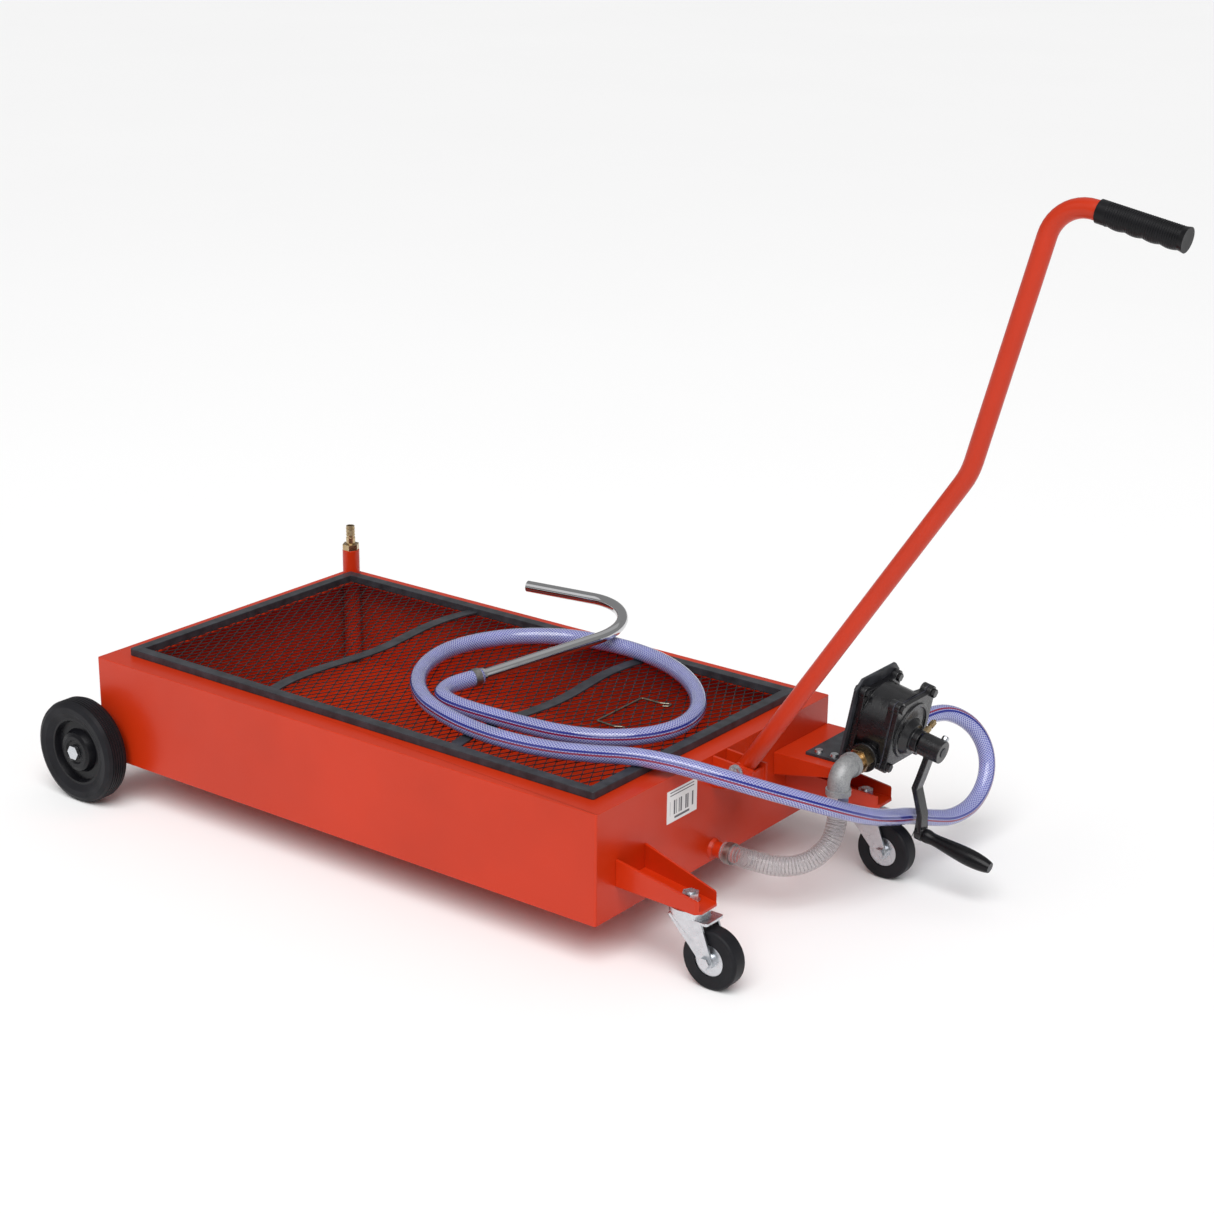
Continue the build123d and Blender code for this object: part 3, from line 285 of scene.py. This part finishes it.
def strand_paint():
    recipe = Recipe("strand_paint")
    return recipe.surface({
        "Base Color": recipe.mix(recipe.spread(recipe.noise(90.0)), (0.012, 0.011, 0.012, 1),
                                 (0.034, 0.031, 0.032, 1)),
        "Roughness": recipe.spread(recipe.noise(70.0), 0.35, 0.55),
        "Specular IOR Level": 0.30,
    })


def rubber(name, tone, grain, low=0.46, high=0.62):
    recipe = Recipe(name)
    return recipe.surface({
        "Base Color": recipe.mix(recipe.spread(recipe.noise(45.0)), (tone, tone, tone * 1.3, 1),
                                 (tone * 1.8, tone * 1.8, tone * 2.3, 1)),
        "Roughness": recipe.spread(recipe.noise(35.0), low, high),
        "Specular IOR Level": 0.22,
        "Normal": recipe.bump(recipe.noise(grain), 0.25, 0.0003),
    })


def black_casting(color):
    recipe = Recipe("black_casting")
    grit = recipe.noise(420.0, 4.0, 0.6)
    lumps = recipe.noise(120.0, 3.0)
    return recipe.surface({
        "Base Color": recipe.mix(recipe.spread(lumps), color, shade(color, 1.8)),
        "Roughness": recipe.spread(recipe.noise(90.0), 0.22, 0.34),
        "Specular IOR Level": 0.35,
        "Coat Weight": 0.30,
        "Coat Roughness": 0.15,
        "Normal": recipe.bump(grit * 0.6 + lumps * 0.5, 0.45, 0.0008),
    })


def plated(name, dark, bright, low=0.22, high=0.38):
    """Zinc or yellow plating: a metal with small mottled patches."""
    recipe = Recipe(name)
    patches = recipe.noise(160.0, 4.0, 0.65)
    return recipe.surface({
        "Base Color": recipe.mix(recipe.spread(patches), dark, bright),
        "Metallic": 1.0,
        "Roughness": recipe.spread(recipe.noise(80.0), low, high),
        "Normal": recipe.bump(recipe.noise(600.0), 0.08, 0.0002),
    })


def galvanised():
    recipe = Recipe("galvanised")
    spangle = recipe.node("ShaderNodeTexVoronoi", None, {"Vector": recipe.place(), "Scale": 700.0}, output=1)
    tone = recipe.node("ShaderNodeSeparateXYZ", None, {0: spangle})
    return recipe.surface({
        "Base Color": recipe.mix(tone, (0.27, 0.275, 0.28, 1), (0.40, 0.405, 0.41, 1)),
        "Metallic": 0.45,
        "Roughness": recipe.spread(tone, 0.42, 0.60),
        "Normal": recipe.bump(recipe.noise(350.0), 0.35, 0.0004),
    })


def bright_chrome():
    recipe = Recipe("bright_chrome")
    return recipe.surface({
        "Base Color": (0.62, 0.62, 0.63, 1),
        "Metallic": 1.0,
        "Roughness": recipe.spread(recipe.noise(60.0), 0.05, 0.13),
    })


def braided_hose(color, spacing):
    """Tinted clear plastic over a white braid, with a dark and a red line side by side."""
    recipe = Recipe("braided_hose")
    along, around = recipe.along_and_round()
    girth = 2 * math.pi * HOSE_RADIUS
    threads = round(girth / spacing)
    one = abs((along / spacing + around * threads).part() - 0.5)
    other = abs((along / spacing - around * threads).part() - 0.5)
    braid = (one < 0.13).larger(other < 0.13)
    tint = recipe.mix(recipe.spread(recipe.noise(32.0)), shade(color, 0.70), shade(color, 1.05))
    threaded = recipe.mix(braid * 0.80, tint, (0.68, 0.72, 0.95, 1))
    dark_line = abs(around - 0.165) < 0.020
    red_line = abs(around - 0.110) < 0.017
    lined = recipe.mix(dark_line, threaded, (0.012, 0.02, 0.26, 1))
    lined = recipe.mix(red_line, lined, (0.30, 0.015, 0.05, 1))
    return recipe.surface({
        "Base Color": lined,
        "Roughness": 0.16,
        "Transmission Weight": 0.30,
        "IOR": 1.45,
        "Coat Weight": 0.6,
        "Coat Roughness": 0.06,
        "Normal": recipe.bump(braid, 0.15, 0.0002),
    })


def clear_plastic():
    recipe = Recipe("clear_plastic")
    return recipe.surface({
        "Base Color": (0.46, 0.44, 0.45, 1),
        "Roughness": recipe.spread(recipe.noise(50.0), 0.08, 0.2),
        "Alpha": recipe.spread(recipe.noise(40.0), 0.30, 0.42),
        "Coat Weight": 0.6,
        "Coat Roughness": 0.05,
    })


def sticker():
    """A white sticker with a few plain grey bars and no lettering."""
    recipe = Recipe("sticker")
    low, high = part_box("label_plate")
    split = recipe.node("ShaderNodeSeparateXYZ", None, {0: recipe.place()})
    across = (Value(recipe, split.socket.node.outputs[1]) - low.y) / (high.y - low.y)
    up = (Value(recipe, split.socket.node.outputs[2]) - low.z) / (high.z - low.z)
    inside = abs(across - 0.5) < 0.40
    bars = ((across * 31.0).sine() + (across * 83.0).sine() > 0.25) * (abs(up - 0.44) < 0.22) * inside
    lines = ((up * 11.0).part() < 0.35) * (up > 0.76) * (up < 0.94) * inside
    foot = (abs(up - 0.12) < 0.035) * (abs(across - 0.5) < 0.25)
    ink = bars.larger(lines).larger(foot)
    return recipe.surface({
        "Base Color": recipe.mix(ink, (0.78, 0.78, 0.77, 1), (0.10, 0.10, 0.11, 1)),
        "Roughness": recipe.spread(recipe.noise(80.0), 0.42, 0.55),
    })


# ------------------------------------------------------------------ making pieces
def add_piece(name, mesh, material, slot, body, *replaced):
    """Links a mesh as a piece that rides on a body and stands for CAD nodes."""
    piece = bpy.data.objects.new(name, mesh)
    bpy.context.scene.collection.objects.link(piece)
    mesh.materials.clear()
    mesh.materials.append(material)
    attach(piece, body)
    if replaced:
        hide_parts(*replaced)
    return piece


def finish_nodes(material, *names):
    """Gives carried-over solids their finish."""
    for name in names:
        mesh = NODES[name].data
        mesh.materials.clear()
        mesh.materials.append(material)


def rounded(node, width, material, slot, body):
    """The node's own shape with its sharp edges rounded over, so that they catch the light."""
    mesh = NODES[node].data.copy()
    work = bmesh.new()
    work.from_mesh(mesh)
    bmesh.ops.remove_doubles(work, verts=work.verts, dist=2e-6)
    bmesh.ops.dissolve_limit(work, angle_limit=math.radians(0.5), verts=work.verts, edges=work.edges)
    for face in work.faces:
        face.smooth = True
    for edge in work.edges:
        edge.smooth = not (edge.is_manifold and edge.calc_face_angle(0) > SHARP_ANGLE)
    work.to_mesh(mesh)
    work.free()
    if "custom_normal" in mesh.attributes:
        mesh.attributes.remove(mesh.attributes["custom_normal"])
    piece = add_piece(f"{node}_shown", mesh, material, slot, body, node)
    bevel = piece.modifiers.new("round_over", "BEVEL")
    bevel.width = width
    bevel.segments = 2
    bevel.limit_method = "ANGLE"
    bevel.angle_limit = SHARP_ANGLE
    bevel.use_clamp_overlap = False
    bevel.harden_normals = True


def smooth_line(points, resolution=12):
    """Points along the smooth line that the control points pull."""
    curve = bpy.data.curves.new("route", "CURVE")
    curve.dimensions = "3D"
    spline = curve.splines.new("NURBS")
    spline.points.add(len(points) - 1)
    for point, place in zip(spline.points, points):
        point.co = (*place, 1.0)
    spline.order_u = 3
    spline.use_endpoint_u = True
    spline.resolution_u = resolution
    holder = bpy.data.objects.new("route", curve)
    bpy.context.scene.collection.objects.link(holder)
    mesh = bpy.data.meshes.new_from_object(holder)
    line = [vertex.co.copy() for vertex in mesh.vertices]
    bpy.data.objects.remove(holder)
    bpy.data.meshes.remove(mesh)
    return line


def frames_along(line, first_side):
    """Place, side, other side and length at each point of a line, without twist."""
    side = Vector(first_side)
    frames = []
    length = 0.0
    for i, point in enumerate(line):
        before = line[max(i - 1, 0)]
        after = line[min(i + 1, len(line) - 1)]
        heading = (after - before).normalized()
        side = (side - heading * side.dot(heading)).normalized()
        if i:
            length += (point - line[i - 1]).length
        frames.append((point, side.copy(), heading.cross(side), length))
    return frames


def sweep(name, line, first_side, radius_at, count=20):
    """A closed tube round a line. radius_at gives its radius from length and share of the way round."""
    frames = frames_along(line, first_side)
    verts = []
    for place, side, other, length in frames:
        for k in range(count):
            angle = 2 * math.pi * k / count
            radius = radius_at(length, k / count)
            verts.append(place + side * (radius * math.cos(angle)) + other * (radius * math.sin(angle)))
    faces = []
    marks = []
    for i in range(len(frames) - 1):
        for k in range(count):
            n = (k + 1) % count
            faces.append((i * count + k, i * count + n, (i + 1) * count + n, (i + 1) * count + k))
            here, there = frames[i][3], frames[i + 1][3]
            near, far = k / count, (k + 1) / count
            marks += [(here, near), (here, far), (there, far), (there, near)]
    last = (len(frames) - 1) * count
    for first, order in ((0, range(count - 1, -1, -1)), (last, range(count))):
        faces.append([first + k for k in order])
        marks += [(frames[0 if first == 0 else -1][3], k / count) for k in order]
    mesh = bpy.data.meshes.new(name)
    mesh.from_pydata(verts, [], faces)
    mesh.polygons.foreach_set("use_smooth", [len(face) == 4 for face in faces])
    layer = mesh.uv_layers.new(name="sweep")
    for loop, mark in zip(layer.data, marks):
        loop.uv = mark
    return mesh


# ------------------------------------------------------------------ pieces
def at(x, y, z):
    """A place given from the tank's middle in millimetres, in metres in the row's frame."""
    return TANK_X + x * MM, y * MM, z * MM


def hose_route():
    """Control points of the delivery hose, from the outlet fitting to the spout's collar."""
    return [
        (OUTLET_X, OUTLET[1].y, OUTLET_Z),
        (OUTLET_X, 0.298, OUTLET_Z),
        at(556, 340, 181), at(573, 374, 156), at(588, 387, 120), at(598, 372, 86), at(600, 335, 62),
        at(594, 290, 58), at(587, 244, 72), at(583, 198, 90), at(584, 151, 104), at(584, 104, 120),
        at(574, 56, 141), at(553, 6, 165), at(521, -42, 188), at(480, -80, 207), at(433, -104, 219),
        at(386, -122, 223), at(338, -141, 219.5), at(285, -158, LIE + 0.2),
        at(224, -168, LIE), at(164, -165, LIE), at(108, -151, LIE), at(56, -129, LIE), at(6, -88, LIE),
        at(-30, -35, LIE), at(-47, 26, LIE), at(-39, 84, LIE), at(-8, 138, LIE), at(42, 176, LIE),
        at(100, 191, LIE), at(160, 191, LIE), at(218, 176, LIE), at(270, 148, LIE), at(316, 108, LIE),
        at(352, 56, LIE), at(365, 0, LIE), at(350, -50, LIE), at(312, -88, LIE), at(262, -108, LIE),
        at(208, -114, LIE), at(154, -116, LIE), at(114, -116, LIE), at(82, -112, LIE), at(57, -98, LIE),
        at(46, -73, LIE), at(48, -45, LIE + 0.2), at(56, -17, LIE + 0.6),
    ]


def suction_route():
    """Control points of the clear hose, from over the drain stub to over the hose tail."""
    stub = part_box("drain_stub")
    middle_y = (stub[0].y + stub[1].y) / 2
    middle_z = (stub[0].z + stub[1].z) / 2
    over_stub = [(WALL_X + out * MM, middle_y, middle_z) for out in (17, 30, 46)]
    over_tail = [(TAIL_X, TAIL_Y, height) for height in (0.109, 0.122, TAIL[0].z + 13 * MM)]
    return [*over_stub, at(482, -10, 74), at(512, 10, 65), at(534, 42, 66), at(545, 73, 84), *over_tail]


def hang_lamp(name, light, place, heading):
    """Puts a light in the scene, shining along a heading."""
    lamp = bpy.data.objects.new(name, light)
    lamp.location = place
    lamp.rotation_mode = "QUATERNION"
    lamp.rotation_quaternion = heading.to_track_quat("-Z", "Y")
    bpy.context.scene.collection.objects.link(lamp)


class DRAINTANK_OT_stage(bpy.types.Operator):
    """Makes the floor, the soft lights and the camera"""
    bl_idname = "drain_tank.stage"
    bl_label = "Stage"

    def execute(self, context):
        settings = context.scene.drain_tank_stage
        back = Vector((math.sin(settings.azimuth) * math.cos(settings.elevation),
                       -math.cos(settings.azimuth) * math.cos(settings.elevation),
                       math.sin(settings.elevation)))
        right = Vector((0, 0, 1)).cross(back).normalized()
        up = back.cross(right)
        across = right * math.cos(settings.roll) + up * math.sin(settings.roll)
        upward = up * math.cos(settings.roll) - right * math.sin(settings.roll)
        lens = bpy.data.cameras.new("camera")
        lens.lens = settings.lens
        lens.sensor_width = 36.0
        camera = bpy.data.objects.new("camera", lens)
        turned = Matrix((across, upward, back)).transposed().to_4x4()
        camera.matrix_world = Matrix.Translation(settings.camera_place) @ turned
        context.scene.collection.objects.link(camera)
        context.scene.camera = camera

        floor_mesh = bpy.data.meshes.new("floor")
        corners = [(x * FLOOR_HALF, y * FLOOR_HALF, 0) for x, y in ((-1, -1), (1, -1), (1, 1), (-1, 1))]
        floor_mesh.from_pydata(corners, [], [(0, 1, 2, 3)])
        floor = bpy.data.objects.new("floor", floor_mesh)
        recipe = Recipe("floor_paint")
        floor_mesh.materials.append(recipe.surface({
            "Base Color": recipe.mix(recipe.spread(recipe.noise(0.8)),
                                     shade(settings.floor_color, 0.99), settings.floor_color),
            "Roughness": 0.7,
        }))
        context.scene.collection.objects.link(floor)

        middle = (CAD_BOX[0] + CAD_BOX[1]) / 2
        for name, place, size, power in (
                ("key", (-1.6, -2.6, 2.8), 2.6, settings.key_power),
                ("fill", (3.0, -0.6, 1.8), 2.2, settings.fill_power),
                ("top", (-0.2, 1.4, 3.2), 3.0, settings.key_power * 0.5)):
            light = bpy.data.lights.new(name, "AREA")
            light.energy = power
            light.size = size
            hang_lamp(name, light, place, middle - Vector(place))
        overhead = bpy.data.lights.new("overhead", "SUN")
        overhead.energy = settings.sun_strength
        overhead.angle = SUN_SPREAD
        hang_lamp("overhead", overhead, (0, 0, 0), Vector(SUN_HEADING))
        world = bpy.data.worlds.new("studio")
        world.use_nodes = True
        sky = world.node_tree.nodes["Background"]
        sky.inputs["Color"].default_value = (1.0, 1.0, 1.0, 1)
        sky.inputs["Strength"].default_value = settings.sky_strength
        context.scene.world = world
        context.scene.view_settings.view_transform = "Standard"
        return {"FINISHED"}


class DRAINTANK_OT_delivery_hose(bpy.types.Operator):
    """Makes the braided delivery hose and gives the spout its chrome"""
    bl_idname = "drain_tank.delivery_hose"
    bl_label = "Delivery hose"

    def execute(self, context):
        finish = context.scene.drain_tank_finish
        sizes = context.scene.drain_tank_sizes
        line = smooth_line(hose_route())
        mesh = sweep("delivery_hose_shown", line, (0, 0, 1), lambda length, around: HOSE_RADIUS, count=28)
        hose = add_piece("delivery_hose_shown", mesh, braided_hose(finish.hose, sizes.braid), "blue_hose",
                         "tank", "delivery_hose")
        finish_nodes(bright_chrome(), "spout_tube")
        return {"FINISHED"}


class DRAINTANK_OT_suction_hose(bpy.types.Operator):
    """Makes the clear hose, ribbed over the wire spiral in its wall"""
    bl_idname = "drain_tank.suction_hose"
    bl_label = "Suction hose"

    def execute(self, context):
        pitch = context.scene.drain_tank_sizes.wire_pitch
        line = smooth_line(suction_route(), resolution=40)

        def ribbed_radius(length, around):
            """Full radius over the wire, and a little less between its turns."""
            wave = math.cos(2 * math.pi * (length / pitch - around))
            return CLEAR_HOSE_RADIUS - CLEAR_HOSE_RIPPLE + CLEAR_HOSE_RIPPLE * wave

        mesh = sweep("suction_hose_shown", line, (0, 0, 1), ribbed_radius, count=24)
        add_piece("suction_hose_shown", mesh, clear_plastic(), "clear_hose", "tank", "suction_hose")
        frames = frames_along(line, (0, 0, 1))
        total = frames[-1][3]
        turns = []
        index = 0
        for step in range(int(total / pitch * WIRE_STEPS)):
            length = step * pitch / WIRE_STEPS
            while index < len(frames) - 2 and frames[index + 1][3] < length:
                index += 1
            here, side, other, start = frames[index]
            there, _, _, end = frames[index + 1]
            share = (length - start) / max(end - start, 1e-9)
            angle = 2 * math.pi * length / pitch
            out = side * math.cos(angle) + other * math.sin(angle)
            turns.append(here.lerp(there, share) + out * WIRE_COIL_RADIUS)
        wire = sweep("suction_wire", turns, (0, 0, 1), lambda length, around: WIRE_RADIUS, count=6)
        add_piece("suction_wire", wire, plated("spiral_wire", (0.22, 0.21, 0.22, 1), (0.36, 0.35, 0.36, 1)),
                  "clear_hose", "tank")
        return {"FINISHED"}


class DRAINTANK_OT_grate(bpy.types.Operator):
    """Makes the expanded metal of the grate and paints its bars"""
    bl_idname = "drain_tank.grate"
    bl_label = "Grate"

    def execute(self, context):
        sizes = context.scene.drain_tank_sizes
        black = bar_paint(context.scene.drain_tank_finish.black)
        low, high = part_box("grate_mesh")
        columns = round((high.x - low.x) / (sizes.diamond_x / 2))
        rows = round((high.y - low.y) / (sizes.diamond_y / 2))
        step_x = (high.x - low.x) / columns
        step_y = (high.y - low.y) / rows
        half = sizes.strand / 2
        bond = 1.5 * MM
        thick = 0.9 * MM
        twist = 0.5 * MM
        rings = 2 * (rows + 1)
        verts = []
        faces = []
        for column in range(columns):
            left = low.x + column * step_x + half
            right = low.x + (column + 1) * step_x - half
            first = len(verts)
            for row in range(rows + 1):
                at_left = (row + column) % 2 == 0
                x = left if at_left else right
                y = low.y + row * step_y
                base = low.z if at_left else low.z + twist
                for dy in (-bond, bond):
                    edge_y = min(max(y + dy, low.y), high.y)
                    for dx, dz in ((-half, 0), (half, 0), (half, thick), (-half, thick)):
                        verts.append((x + dx, edge_y, base + dz))
            for ring in range(rings - 1):
                here = first + ring * 4
                for k in range(4):
                    n = (k + 1) % 4
                    faces.append((here + k, here + n, here + 4 + n, here + 4 + k))
            faces.append((first + 3, first + 2, first + 1, first))
            end = first + (rings - 1) * 4
            faces.append((end, end + 1, end + 2, end + 3))
        mesh = bpy.data.meshes.new("expanded_metal")
        mesh.from_pydata(verts, [], faces)
        add_piece("expanded_metal", mesh, strand_paint(), "grate_wire", "tank", "grate_mesh")
        rounded("grate_frame", 0.9 * MM, black, "black_paint", "tank")
        rounded("grate_crossbars", 0.4 * MM, black, "black_paint", "tank")
        return {"FINISHED"}


class DRAINTANK_OT_tank(bpy.types.Operator):
    """Coats the tank, its arms, shelf and brackets, and fits the sticker"""
    bl_idname = "drain_tank.tank"
    bl_label = "Tank"

    def execute(self, context):
        red = powder_coat(context.scene.drain_tank_finish.red)
        edge = context.scene.drain_tank_sizes.round_over
        for node in ("tank_pan", "caster_arm_right", "caster_arm_left", "handle_bracket", "pump_shelf",
                     "drain_stub", "riser_pipe"):
            rounded(node, edge, red, "red_paint", "tank")
        finish_nodes(red, "rear_axle_tube", "handle_tube")
        finish_nodes(sticker(), "label_plate")
        return {"FINISHED"}


class DRAINTANK_OT_fittings(bpy.types.Operator):
    """Plates the bolts, nuts, casters and pipe fittings"""
    bl_idname = "drain_tank.fittings"
    bl_label = "Fittings"

    def execute(self, context):
        zinc = plated("zinc_plate", (0.56, 0.58, 0.61, 1), (0.67, 0.69, 0.72, 1))
        brass = plated("yellow_plate", (0.36, 0.24, 0.12, 1), (0.66, 0.52, 0.32, 1), 0.20, 0.34)
        for side in ("right", "left"):
            rounded(f"caster_fork_{side}", 0.4 * MM, zinc, "zinc", f"caster_swivel_{side}")
            rounded(f"caster_hub_{side}", 0.4 * MM, zinc, "zinc", f"caster_wheel_{side}")
            finish_nodes(zinc, f"caster_axle_{side}")
        finish_nodes(zinc, "rear_axle_washers", "rear_axle_caps", "caster_top_races", "caster_kingpins",
                     "caster_nuts", "handle_pivot_bolt", "handle_pivot_nut", "bracket_bolts",
                     "crank_set_screw", "suction_hose_tail", "rear_axle")
        finish_nodes(plated("clamp_steel", (0.20, 0.19, 0.18, 1), (0.44, 0.42, 0.40, 1), 0.36, 0.5),
                     "suction_hose_clamps", "delivery_hose_clamps")
        for node in ("riser_hose_barb", "inlet_bushing", "outlet_fitting"):
            rounded(node, 0.3 * MM, brass, "brass", "tank")
        finish_nodes(brass, "grease_nipple")
        finish_nodes(galvanised(), "suction_elbow")
        finish_nodes(plated("hook_plate", (0.12, 0.105, 0.08, 1), (0.30, 0.27, 0.21, 1)), "wire_hook")
        return {"FINISHED"}


class DRAINTANK_OT_wheels(bpy.types.Operator):
    """Gives the tyres and hubs their rubber and plastic"""
    bl_idname = "drain_tank.wheels"
    bl_label = "Wheels"

    def execute(self, context):
        tread = rubber("tyre_rubber", 0.006, 500.0)
        plastic = rubber("hub_plastic", 0.004, 900.0, 0.24, 0.34)
        for side in ("right", "left"):
            finish_nodes(tread, f"rear_tyre_{side}", f"caster_tyre_{side}")
            finish_nodes(plastic, f"rear_hub_{side}")
        return {"FINISHED"}


class DRAINTANK_OT_pump(bpy.types.Operator):
    """Paints the pump, its bracket and its crank"""
    bl_idname = "drain_tank.pump"
    bl_label = "Pump"

    def execute(self, context):
        finish = context.scene.drain_tank_finish
        cast = black_casting(finish.casting)
        for node in ("pump_body", "pump_cover"):
            rounded(node, 1.2 * MM, cast, "black_casting", "tank")
        rounded("crank_arm", 1.0 * MM, cast, "black_casting", "crank")
        finish_nodes(cast, "pump_rotor", "pump_bolts")
        black = bar_paint(finish.black)
        finish_nodes(black, "pump_shaft", "crank_pin")
        rounded("pump_bracket", 0.6 * MM, black, "black_paint", "tank")
        finish_nodes(rubber("gasket_fibre", 0.05, 700.0), "pump_gasket", "pump_vanes")
        finish_nodes(rubber("crank_plastic", 0.003, 900.0, 0.22, 0.32), "crank_grip")
        return {"FINISHED"}


class DRAINTANK_OT_grip(bpy.types.Operator):
    """Makes the ribbed pull grip with its finger rests"""
    bl_idname = "drain_tank.grip"
    bl_label = "Pull grip"

    def execute(self, context):
        low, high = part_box("handle_grip")
        reach = 14.6 * MM
        lean_z = 0.983
        lean_x = 0.184
        slope = math.atan2(high.z - low.z - 2 * reach * lean_z, high.x - low.x - 2 * reach * lean_x)
        start = Vector((low.x + reach * math.sin(slope), 0, high.z - reach * math.cos(slope)))
        end = Vector((high.x - reach * math.sin(slope), 0, low.z + reach * math.cos(slope)))
        long = (end - start).length
        rings = 320
        line = [start.lerp(end, i / rings) for i in range(rings + 1)]
        band = 11 * MM
        band_radius = 13.0 * MM
        flare = 6 * MM
        flare_radius = 12.8 * MM
        flare_rate = 0.2
        rib_radius = 12.7 * MM
        rib_pitch = 2.7 * MM
        rib_height = 0.40 * MM
        rest_start = 14 * MM
        rest_pitch = 20 * MM
        rest_depth = 1.6 * MM

        def grip_radius(length, around):
            """A smooth band, then fine ribs with finger rests underneath, and a flare at the end."""
            if length < band:
                return band_radius
            if length > long - flare:
                return flare_radius + flare_rate * (length - long + flare)
            under = max(0.0, -math.cos(2 * math.pi * around)) ** 1.5
            rest = abs(math.sin(math.pi * (length - rest_start) / rest_pitch))
            rib = rib_height * math.cos(2 * math.pi * length / rib_pitch)
            return rib_radius + rib * (1 - under) + under * rest * rest_depth

        mesh = sweep("pull_grip", line, (0, 0, 1), grip_radius, count=40)
        add_piece("pull_grip", mesh, rubber("grip_rubber", 0.003, 800.0, 0.34, 0.46), "grip_rubber", "handle",
                  "handle_grip")
        return {"FINISHED"}


OPERATORS = (
    DRAINTANK_OT_stage, DRAINTANK_OT_delivery_hose, DRAINTANK_OT_suction_hose, DRAINTANK_OT_grate,
    DRAINTANK_OT_tank, DRAINTANK_OT_fittings, DRAINTANK_OT_wheels, DRAINTANK_OT_pump, DRAINTANK_OT_grip,
)
GROUPS = {"drain_tank_stage": DrainTankStage, "drain_tank_finish": DrainTankFinish,
          "drain_tank_sizes": DrainTankSizes}


class DRAINTANK_PT_panel(bpy.types.Panel):
    """Lists the settings and the pieces in the order they are made"""
    bl_idname = "DRAINTANK_PT_panel"
    bl_label = "Drain tank"
    bl_space_type = "VIEW_3D"
    bl_region_type = "UI"
    bl_category = "Drain tank"

    def draw(self, context):
        for name, group in GROUPS.items():
            settings = getattr(context.scene, name)
            box = self.layout.box()
            for key in group.__annotations__:
                box.prop(settings, key)
        for operator in OPERATORS:
            self.layout.operator(operator.bl_idname)


def register():
    for name, group in GROUPS.items():
        bpy.utils.register_class(group)
        setattr(bpy.types.Scene, name, PointerProperty(type=group))
    for made in (*OPERATORS, DRAINTANK_PT_panel):
        bpy.utils.register_class(made)


def unregister():
    for made in reversed((*OPERATORS, DRAINTANK_PT_panel)):
        bpy.utils.unregister_class(made)
    for name, group in GROUPS.items():
        delattr(bpy.types.Scene, name)
        bpy.utils.unregister_class(group)


def main():
    register()
    bpy.ops.drain_tank.stage()
    bpy.ops.drain_tank.delivery_hose()
    bpy.ops.drain_tank.suction_hose()
    bpy.ops.drain_tank.grate()
    bpy.ops.drain_tank.tank()
    bpy.ops.drain_tank.fittings()
    bpy.ops.drain_tank.wheels()
    bpy.ops.drain_tank.pump()
    bpy.ops.drain_tank.grip()
    bpy.context.view_layer.update()


if __name__ == "__main__":
    main()
